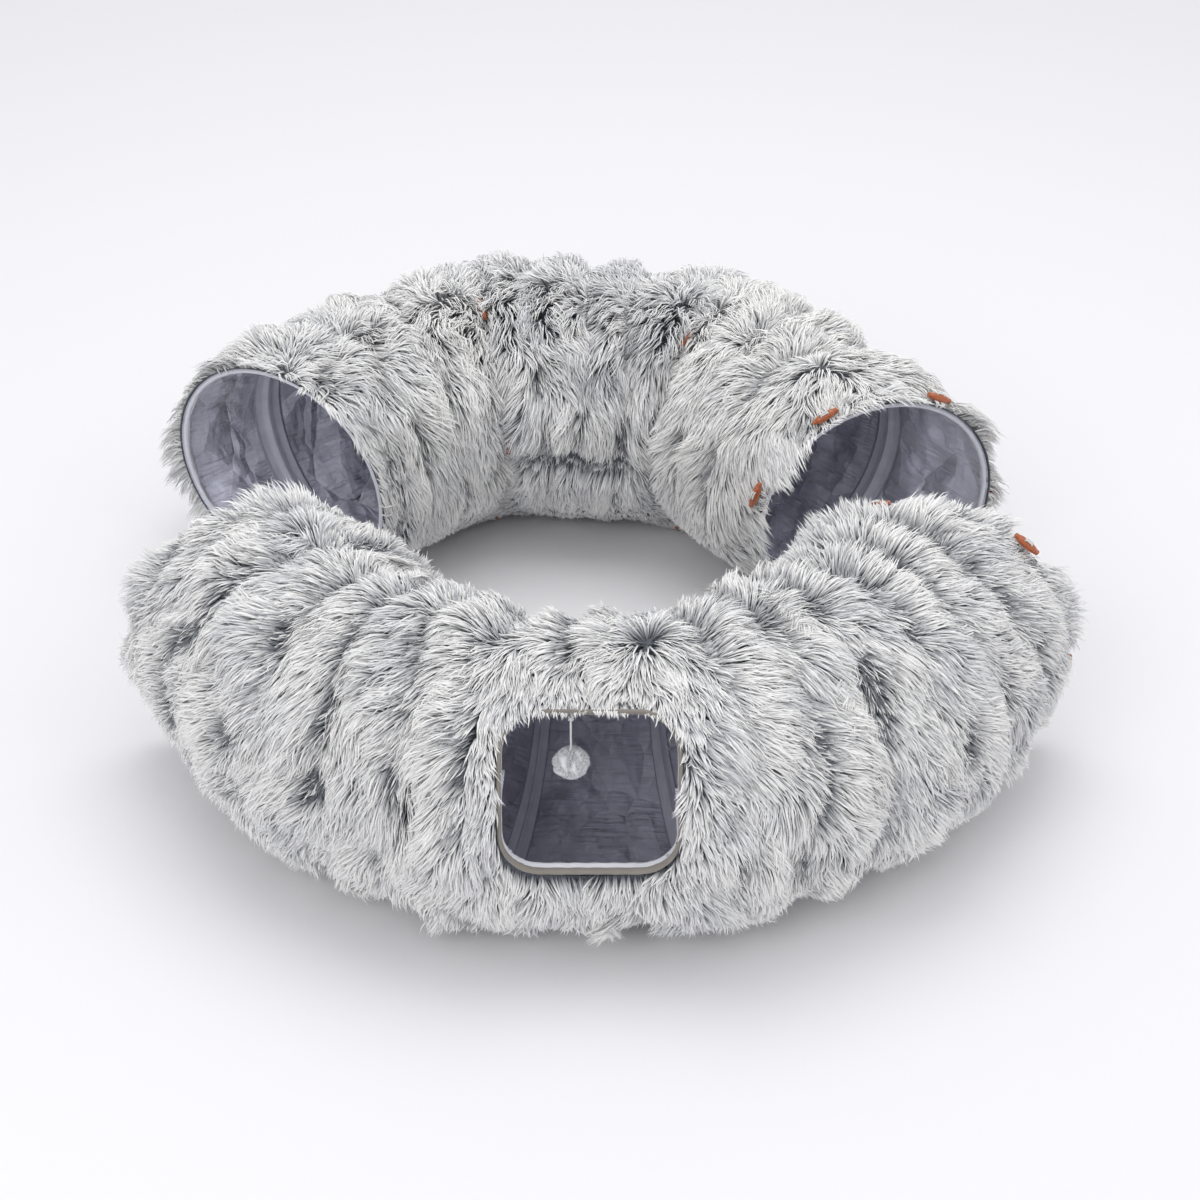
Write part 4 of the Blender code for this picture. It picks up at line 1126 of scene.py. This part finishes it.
# shorter pile low on the inner sides, at the crease, round the door and beside the toggles that show
def shorter(span, angle, phi, spot):
    low, depth = trim["frontLow"] if span.isFront else trim["rearLow"]
    share = 1.0 - depth * bell(apart(phi, low), trim["lowWidth"])
    share = share * (1.0 - trim["under"] * bell(apart(phi, trim["underTurn"]), trim["underWidth"]))
    past = pastCrease(angle, phi)
    beside = (past < trim["creasePast"]) & (past > -trim["creaseAbove"])
    above = np.where(beside, np.clip(-past / trim["creaseAbove"], trim["creaseLeast"], 1.0), 1.0)
    share = share * (1.0 + (above - 1.0) * skirtShare(span, angle))
    if span.name == "front_3":
        middle, _, upward, _ = doorFrame()
        above = np.clip((spot - middle) @ upward / trim["doorRise"], 0.0, 1.0)
        short = np.clip(doorDistance(spot) / trim["doorReach"], 0.0, 1.0)
        share = share * (1.0 - (trim["door"][0] + trim["door"][1] * above) * (1.0 - short))
    share = share * (1.0 - trim["crack"] * crack(span, angle, phi, spot))
    share = share + (trim["covered"] - share) * cover(spot)
    return share * (0.36 + trim["toggle"] * clearance(spot, trim["toggleReach"]))


# metres to the seam between two sleeves
def toSeam(span, angle, phi):
    end = span.last if seams[span.name] > 0.0 else span.first
    return np.radians(np.abs(angle - end)) * span.reach(angle, tunnel["coverRadius"], phi)


valley = {"front": 0.24, "rear": 0.15, "narrow": 4.5}


# 1 in the deepest valleys, where the pile parts, its dark roots show and painted shade darkens the tips
def crack(span, angle, phi, roots):
    ridge = span.ridge(span.share(angle, phi), phi)
    usual = valley["front"] if span.isFront else valley["rear"]
    patch = np.clip(usual + parting.at(roots), 0.0, 1.0)
    return (1.0 - ridge) ** valley["narrow"] * patch * (1.0 - span.calm(phi))


# how far each place is from the nearest of a few spots
def gapTo(spots, targets):
    return np.linalg.norm(spots[:, None] - targets[None], axis=2).min(axis=1)


# 0 beside a toggle that shows, 1 well away from all of them
def clearance(spots, length):
    gap = gapTo(spots, np.concatenate(keepClear)) - trim["toggleGap"]
    return np.clip(gap / length, 0.0, 1.0)


# 1 beside a toggle that the pile hides
def cover(spots):
    return bell(gapTo(spots, np.concatenate(hidden)), trim["coverReach"])


# roots spread evenly over a span's cloth, thinner on the underside
def sowRoots(span, count, rng):
    share = rng.random(count * 2)
    phi = rng.random(count * 2) * 2.0 * math.pi
    angle = span.first + (span.last - span.first) * share
    out = span.reach(angle, tunnel["coverRadius"], phi)
    keep = rng.random(count * 2) * (span.nearRadius + tunnel["coverRadius"]) * 1.05 < out
    angle, phi = angle[keep][:count], phi[keep][:count]
    keep = (np.sin(phi) >= pile["underside"]) | (rng.random(len(phi)) < pile["underShare"])
    return angle[keep], phi[keep]


def spanArea(span):
    share, phi = np.meshgrid(np.linspace(0.0, 1.0, 41), np.linspace(0.0, 2.0 * math.pi, 81), indexing="ij")
    spots = span.cloth(span.first + (span.last - span.first) * share, phi)
    a = spots[1:, :-1] - spots[:-1, :-1]
    b = spots[:-1, 1:] - spots[:-1, :-1]
    return float(np.linalg.norm(np.cross(a, b), axis=-1).sum())


def furPiece(span, seed):
    rng = np.random.default_rng(seed)
    area = spanArea(span)
    angle, phi = sowRoots(span, int(area * pile["perSquareMetre"]), rng)
    clumpAngle, clumpPhi = sowRoots(span, int(area / pile["clumpSpacing"] ** 2), rng)
    locks, _, _ = strands(span, clumpAngle, clumpPhi, rng, pile["clumpSpread"])
    locks[:, 2:] += rng.normal(0.0, pile["curl"], (len(locks), 1, 3)) * np.array((0.5, 1.0))[:, None]
    paths, normal, _ = strands(span, angle, phi, rng, pile["spread"])
    tree = kdtree.KDTree(len(locks))
    for k, spot in enumerate(locks[:, 0]):
        tree.insert(spot, k)
    tree.balance()
    lock = locks[np.array([tree.find(spot)[1] for spot in paths[:, 0]])]
    reach = np.linalg.norm(paths[:, -1] - paths[:, 0], axis=1)
    lockReach = np.linalg.norm(lock[:, -1] - lock[:, 0], axis=1)
    fit = np.clip(reach / np.maximum(lockReach, 1e-6), 0.3, 1.2)
    for k, pull in enumerate(pile["pulls"], 1):
        goal = lock[:, 0] + (lock[:, k] - lock[:, 0]) * fit[:, None]
        paths[:, k] += (goal - paths[:, k]) * (pile["clumpPull"] * pull)
    paths[:, -1] += rng.normal(0.0, pile["tipScatter"], (len(paths), 3))
    bright = paintedShadeOnTips(span, angle, phi, paths[:, 0], rng)
    base = rootPaleness(span, angle, phi)
    if span.name == "front_3":
        keep = doorDistance(paths[:, 0]) > pile["doorCut"]
        paths, normal, bright, base = paths[keep], normal[keep], bright[keep], base[keep]
    low = pile["floor"] + rng.random(len(paths)) * pile["floorScatter"]
    paths[:, :, 2] = np.maximum(paths[:, :, 2], low[:, None])
    shade = shadeOf(span, paths[:, 0], rng)
    return stripMesh(f"fur_{span.name}", paths, normal, rng, shade, bright, pile["width"],
                     materials["pile"], pile["floor"], base)


# strengths of the painted shade on the tips (crack, spot, crease, crest), root paleness and strand tones
tone = {"crack": 0.85, "spot": 0.30, "spotFrom": 1.55, "spotOver": 0.5, "crease": 0.34, "creaseWidth": 2.8,
        "crest": 0.14, "crestTurn": 100.0, "crestWidth": 16.0, "crestParting": 0.8, "least": 0.22,
        "takers": 0.6, "takes": (1.2, 0.2), "strandLeast": 0.18, "seam": 0.40, "seamWidth": 0.010,
        "rim": 0.55, "rimWidth": 0.012, "shade": 0.66, "shadeParting": 0.14, "shadeSpread": 0.22,
        "shadeShift": {"rear_3": -0.14, "rear_4": -0.14, "rear_5": 0.14, "rear_6": 0.14}}


# tip paleness: painted shade in the deepest valleys, at the crease and in a few partings, on most strands
def paintedShadeOnTips(span, angle, phi, roots, rng):
    bright = 1.0 - tone["crack"] * crack(span, angle, phi, roots)
    spot = np.clip(spotty.at(roots) - tone["spotFrom"], 0.0, tone["spotOver"])
    bright = bright - tone["spot"] * spot / tone["spotOver"]
    line = bell(pastCrease(angle, phi), tone["creaseWidth"])
    bright = bright - tone["crease"] * line * skirtShare(span, angle)
    if span.name in ("rear_2", "rear_3", "rear_4"):
        crest = tone["crest"] * bell(apart(phi, tone["crestTurn"]), tone["crestWidth"])
        bright = bright - crest * (1.0 + tone["crestParting"] * parting.at(roots))
    bright = np.clip(bright, tone["least"], 1.0)
    taken = np.where(rng.random(len(roots)) < tone["takers"], *tone["takes"])
    return np.clip(1.0 - (1.0 - bright) * taken, tone["strandLeast"], 1.0)


def rootPaleness(span, angle, phi):
    base = np.full(len(angle), paleness[span.name])
    if span.name in seams:
        base = base + tone["seam"] * bell(toSeam(span, angle, phi), tone["seamWidth"])
    if span.name in overhang:
        base = np.maximum(base, tone["rim"] * bell(span.toRim(angle, phi), tone["rimWidth"]))
    return base


def shadeOf(span, roots, rng):
    shade = tone["shade"] + tone["shadeParting"] * parting.at(roots)
    shade = shade + rng.normal(0.0, tone["shadeSpread"], len(roots))
    return np.clip(shade + tone["shadeShift"].get(span.name, 0.0), 0.02, 0.98)


strip = {"widths": (0.7, 1.3), "profile": (0.75, 1.0, 0.72), "roll": 0.45, "columns": 64,
         "rows": (0.02, 0.34, 0.67, 0.98)}


# flat tapered strands as one mesh, coloured through the piece's own map
def stripMesh(name, paths, normal, rng, shade, bright, width, material, floorHeight, base=None):
    count, points = paths.shape[:2]
    wide = width * rng.uniform(*strip["widths"], count)
    profile = strip["profile"]
    roll = rng.normal(0.0, strip["roll"], count)
    per = points * 2 - 1
    verts = np.zeros((count, per, 3))
    for k in range(points - 1):
        ahead = unit(paths[:, k + 1] - paths[:, k])
        side = unit(np.cross(ahead, normal))
        lift = np.cross(side, ahead)
        side = side * np.cos(roll)[:, None] + lift * np.sin(roll)[:, None]
        half = side * (wide * profile[k] / 2)[:, None]
        verts[:, 2 * k] = paths[:, k] - half
        verts[:, 2 * k + 1] = paths[:, k] + half
    verts[:, -1] = paths[:, -1]
    verts[:, :, 2] = np.maximum(verts[:, :, 2], floorHeight)
    start = (np.arange(count) * per)[:, None]
    quads = np.array([[0, 1, 3, 2], [2, 3, 5, 4]])
    tip = np.array([[4, 5, 6]])
    loops = np.concatenate([(start[:, :, None] + quads[None]).reshape(count, -1),
                            (start[:, :, None] + tip[None]).reshape(count, -1)], axis=1).ravel()
    sizes = np.tile([4, 4, 3], count)
    mesh = bpy.data.meshes.new(name)
    mesh.vertices.add(count * per)
    mesh.vertices.foreach_set("co", verts.reshape(-1).astype(np.float32))
    mesh.loops.add(len(loops))
    mesh.loops.foreach_set("vertex_index", loops.astype(np.int32))
    mesh.polygons.add(len(sizes))
    mesh.polygons.foreach_set("loop_start", np.concatenate([[0], np.cumsum(sizes)[:-1]]).astype(np.int32))
    mesh.polygons.foreach_set("loop_total", sizes.astype(np.int32))
    mesh.update(calc_edges=True)
    mesh.validate()
    columns, rows = strip["columns"], strip["rows"]
    column = np.floor(shade * columns) / columns
    left, right = column + 0.15 / columns, column + 0.85 / columns
    # a low bright keeps a strand in the ramp's dark part, which paints shade on it
    spots = np.zeros((count, per, 2))
    for k in range(points - 1):
        spots[:, 2 * k, 0], spots[:, 2 * k + 1, 0] = left, right
        spots[:, 2 * k:2 * k + 2, 1] = rows[k] * bright[:, None]
    spots[:, -1, 0] = (left + right) / 2
    spots[:, -1, 1] = rows[-1] * bright
    if base is not None:
        spots[:, :, 1] = base[:, None] + (1.0 - base[:, None]) * spots[:, :, 1]
    layer = mesh.uv_layers.new(name="OFBake")
    layer.data.foreach_set("uv", spots.reshape(-1, 2)[loops].reshape(-1).astype(np.float32))
    return finish(mesh, name, material)


knitCloth = {"drop": 0.0054, "floor": 0.0013, "grid": (90, 32), "doorGrow": 0.002, "thickness": 0.0012}


# the cloth under the pile
def backingPiece(span):
    def place(u, v):
        angle = span.first + (span.last - span.first) * v
        spots = span.cloth(angle, u * 2.0 * math.pi, knitCloth["drop"])
        spots[:, 2] = np.maximum(spots[:, 2], knitCloth["floor"])
        return spots

    shape = formGrid(*knitCloth["grid"], place)
    if span.name == "front_3":
        cutDoor(shape, knitCloth["doorGrow"])
    name = f"backing_{span.name}"
    item = finish(toMesh(shape, name), name, materials["backing"])
    thicken(item, knitCloth["thickness"])
    return item


# Each span's cloth was cut as a straight tube, as long as its outer side, and gathers up on its inner side.
# The door's span was cut a little shorter. These lengths are reckoned here but not used
cut = {"doorSpan": 0.95}


def declareCloth(span, radius):
    along = math.radians(abs(span.last - span.first)) * float(span.reach(span.first, radius, 0.0))
    if span.name == "front_3":
        along = along * cut["doorSpan"]


print("fur", flush=True)
for number, span in enumerate(front + rear):
    backing, hair = backingPiece(span), furPiece(span, 101 + number)
    for item in (backing, hair):
        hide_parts(span.name.replace("_", "_cover_"))
        bendWith(item, span)
    declareCloth(span, tunnel["coverRadius"])

# Lining and casings
silk = {"billow": 0.0022, "crumple": 0.0038, "gather": 0.0007, "gathers": 45.0, "holdFade": 0.02,
        "grid": (250, 24), "thickness": 0.0005}
casing = {"width": 0.026, "inset": 0.0012, "crown": 0.0042, "crownWidth": 0.0032, "pucker": 0.0003,
          "puckers": 150.0, "seamAt": 0.86, "seamWidth": 0.08, "grid": (220, 14), "thickness": 0.0007}
billow = Waves(21, 0.05, 0.12, 12)
crumple = Waves(22, 0.022, 0.070, 18)


# crumpled silk, smooth only where the casings and rims hold it
def liningPiece(span):
    def place(u, v):
        phi = u * 2.0 * math.pi
        angle = span.first + (span.last - span.first) * v
        spot = span.point(angle, tunnel["liningInner"], phi)
        side = np.minimum(v, 1.0 - v) * abs(span.last - span.first)
        free = np.radians(side) * span.reach(angle, 0.0, phi) - casing["width"] / 2
        hold = np.clip(free / silk["holdFade"], 0.0, 1.0)
        fold = np.abs(crumple.at(spot)) * silk["crumple"] + (0.6 + 0.4 * billow.at(spot)) * silk["billow"]
        gather = 0.5 + 0.5 * np.sin(phi * silk["gathers"] + 5.0 * billow.at(spot) + 9.0 * v)
        return span.point(angle, tunnel["liningInner"], phi, -(fold + gather * silk["gather"]) * hold)

    shape = formGrid(*silk["grid"], place)
    if span.name == "front_3":
        cutDoor(shape, 0.0)
    name = f"lining_{span.name}"
    item = finish(toMesh(shape, name), name, materials["lining"])
    thicken(item, silk["thickness"])
    return item


# a tape round the lining over a middle hoop, raised along its middle by the wire
def tapePiece(name, before, after, angle, body, node):
    half = degreesOver(casing["width"] / 2, before.farRadius)

    def place(u, v):
        phi = u * 2.0 * math.pi
        offset = (v - 0.5) * 2.0
        pace = offset * half * before.way
        crown = bell(offset * casing["width"] / 2, casing["crownWidth"])
        radius = tunnel["liningInner"] - casing["inset"] - casing["crown"] * crown
        seam = bell(np.abs(offset) - casing["seamAt"], casing["seamWidth"])
        pucker = casing["pucker"] * np.cos(phi * casing["puckers"]) * seam
        near = before.point(angle + pace, radius + pucker, phi)
        far = after.point(angle + pace, radius + pucker, phi)
        return np.where((offset < 0.0)[:, None], near, far)

    shape = formGrid(*casing["grid"], place)
    item = finish(toMesh(shape, name), name, materials["tape"])
    thicken(item, casing["thickness"])
    standIn(item, node, body)


print("lining", flush=True)
linings = [("front_lining", span) for span in front]
linings += [(f"rear_lining_{number // 2 + 1}", span) for number, span in enumerate(rear)]
for node, span in linings:
    item = liningPiece(span)
    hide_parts(node)
    bendWith(item, span)
    declareCloth(span, tunnel["liningInner"])
for k in range(4):
    tapePiece(f"tape_front_{k + 1}", front[k], front[k + 1], frontRims[k + 1],
              frontHalf["bodies"][k + 1], f"front_casing_{k + 1}")
for k in range(3):
    tapePiece(f"tape_rear_{k + 1}", rear[2 * k], rear[2 * k + 1], rearHalf["middles"][k],
              rearHalf["bodies"][3 * k + 1], f"rear_casing_{k + 1}")

# The steel hoops stay as they are
for name, node in nodes.items():
    if "_hoop_" in name:
        for k in range(len(node.data.materials)):
            node.data.materials[k] = materials["steel"]

print("pom-pom", flush=True)


# a ball of wool strands round a dented core
def pompomPiece():
    rng = np.random.default_rng(7)
    radius = pompom["across"] / 2
    centre = stringPath[-1] - np.array((0.0, 0.0, radius * pompom["squash"] + pompom["seat"]))
    heading = unit(rng.normal(size=(pompom["strands"], 3)))
    tuft = Waves(31, 0.5, 1.1, 14)
    reach = radius * (0.96 + 0.02 * tuft.at(heading)) * rng.uniform(*pompom["trim"], len(heading))
    bend = unit(np.cross(heading, rng.normal(size=heading.shape))) * pompom["bend"]
    flat = np.array((1.0, 1.0, pompom["squash"]))
    paths = []
    for share in (0.0, 0.4, 0.75, 1.0):
        out = pompom["core"] * 0.85 * (1.0 - share) + reach * share
        paths.append(centre + (heading * out[:, None] + bend * share ** 2) * flat)
    paths = np.stack(paths, axis=1)
    shade = np.clip(pompom["tone"] + rng.normal(0.0, pompom["toneSpread"], len(heading)), 0.02, 0.98)
    normal = unit(np.cross(heading, rng.normal(size=heading.shape)))
    wool = stripMesh("pompom_wool", paths, normal, rng, shade, np.ones(len(heading)), pompom["strandWidth"],
                     materials["wool"], 0.0)
    shape = bmesh.new()
    bmesh.ops.create_icosphere(shape, subdivisions=4, radius=pompom["core"])
    spots = np.array([v.co for v in shape.verts])
    swell = 1.0 + pompom["coreDents"] * Waves(32, 0.004, 0.012, 14).at(spots)
    for vertex, spot, more in zip(shape.verts, spots, swell):
        vertex.co = centre + spot * more * flat
    core = finish(toMesh(shape, "pompom_core"), "pompom_core", materials["core"])
    for item in (wool, core):
        standIn(item, "pompom", "pompom_swing")
    return wool, core


# two turns of cord, wound over and under
def knotPiece():
    coil = []
    for turn in np.linspace(0.0, 4.0 * math.pi, 60):
        wide = 1.0 + 0.3 * math.cos(1.5 * turn)
        spoke = (math.cos(turn) * wide, math.sin(turn) * wide, 0.9 * math.sin(1.5 * turn))
        coil.append(knot + pompom["knotSize"] / 2 * 0.55 * np.array(spoke))
    item = cordMesh("pompom_tie", [np.array(coil)], pompom["stringWidth"], materials["cord"])
    standIn(item, "pompom_knot", "pompom_knot")


wool, core = pompomPiece()
knotPiece()

# Floor and light
stage = {"floor": (0.868, 0.864, 0.884), "floorSize": 6.0, "sky": (0.985, 0.985, 1.0),
         "skyStrength": 0.79, "aim": (0.0, 0.0, 0.1)}
lamps = {
    "key_light": {"place": (-1.3, -2.5, 2.3), "size": 1.8, "power": 17.5},
    "fill_light": {"place": (1.8, -0.6, 2.6), "size": 1.8, "power": 6.0},
    "top_light": {"place": (0.0, 0.35, 2.6), "size": 2.0, "power": 20.5},
}
shape = bmesh.new()
bmesh.ops.create_grid(shape, x_segments=1, y_segments=1, size=stage["floorSize"])
floor = bpy.data.objects.new("floor", toMesh(shape, "floor"))
bpy.context.scene.collection.objects.link(floor)
floor.data.materials.append(Net("pale_floor").set(colour=stage["floor"], rough=0.95, specular=0.0))

world = bpy.data.worlds.new("studio")
bpy.context.scene.world = world
world.use_nodes = True
sky = world.node_tree.nodes["Background"]
sky.inputs["Color"].default_value = (*stage["sky"], 1.0)
sky.inputs["Strength"].default_value = stage["skyStrength"]


def softLamp(name, place, size, power):
    data = bpy.data.lights.new(name, "AREA")
    data.shape = "DISK"
    data.size = size
    data.energy = power
    lamp = bpy.data.objects.new(name, data)
    lamp.location = place
    lamp.rotation_euler = (Vector(stage["aim"]) - Vector(place)).to_track_quat("-Z", "Y").to_euler()
    bpy.context.scene.collection.objects.link(lamp)


for name, lamp in lamps.items():
    softLamp(name, **lamp)
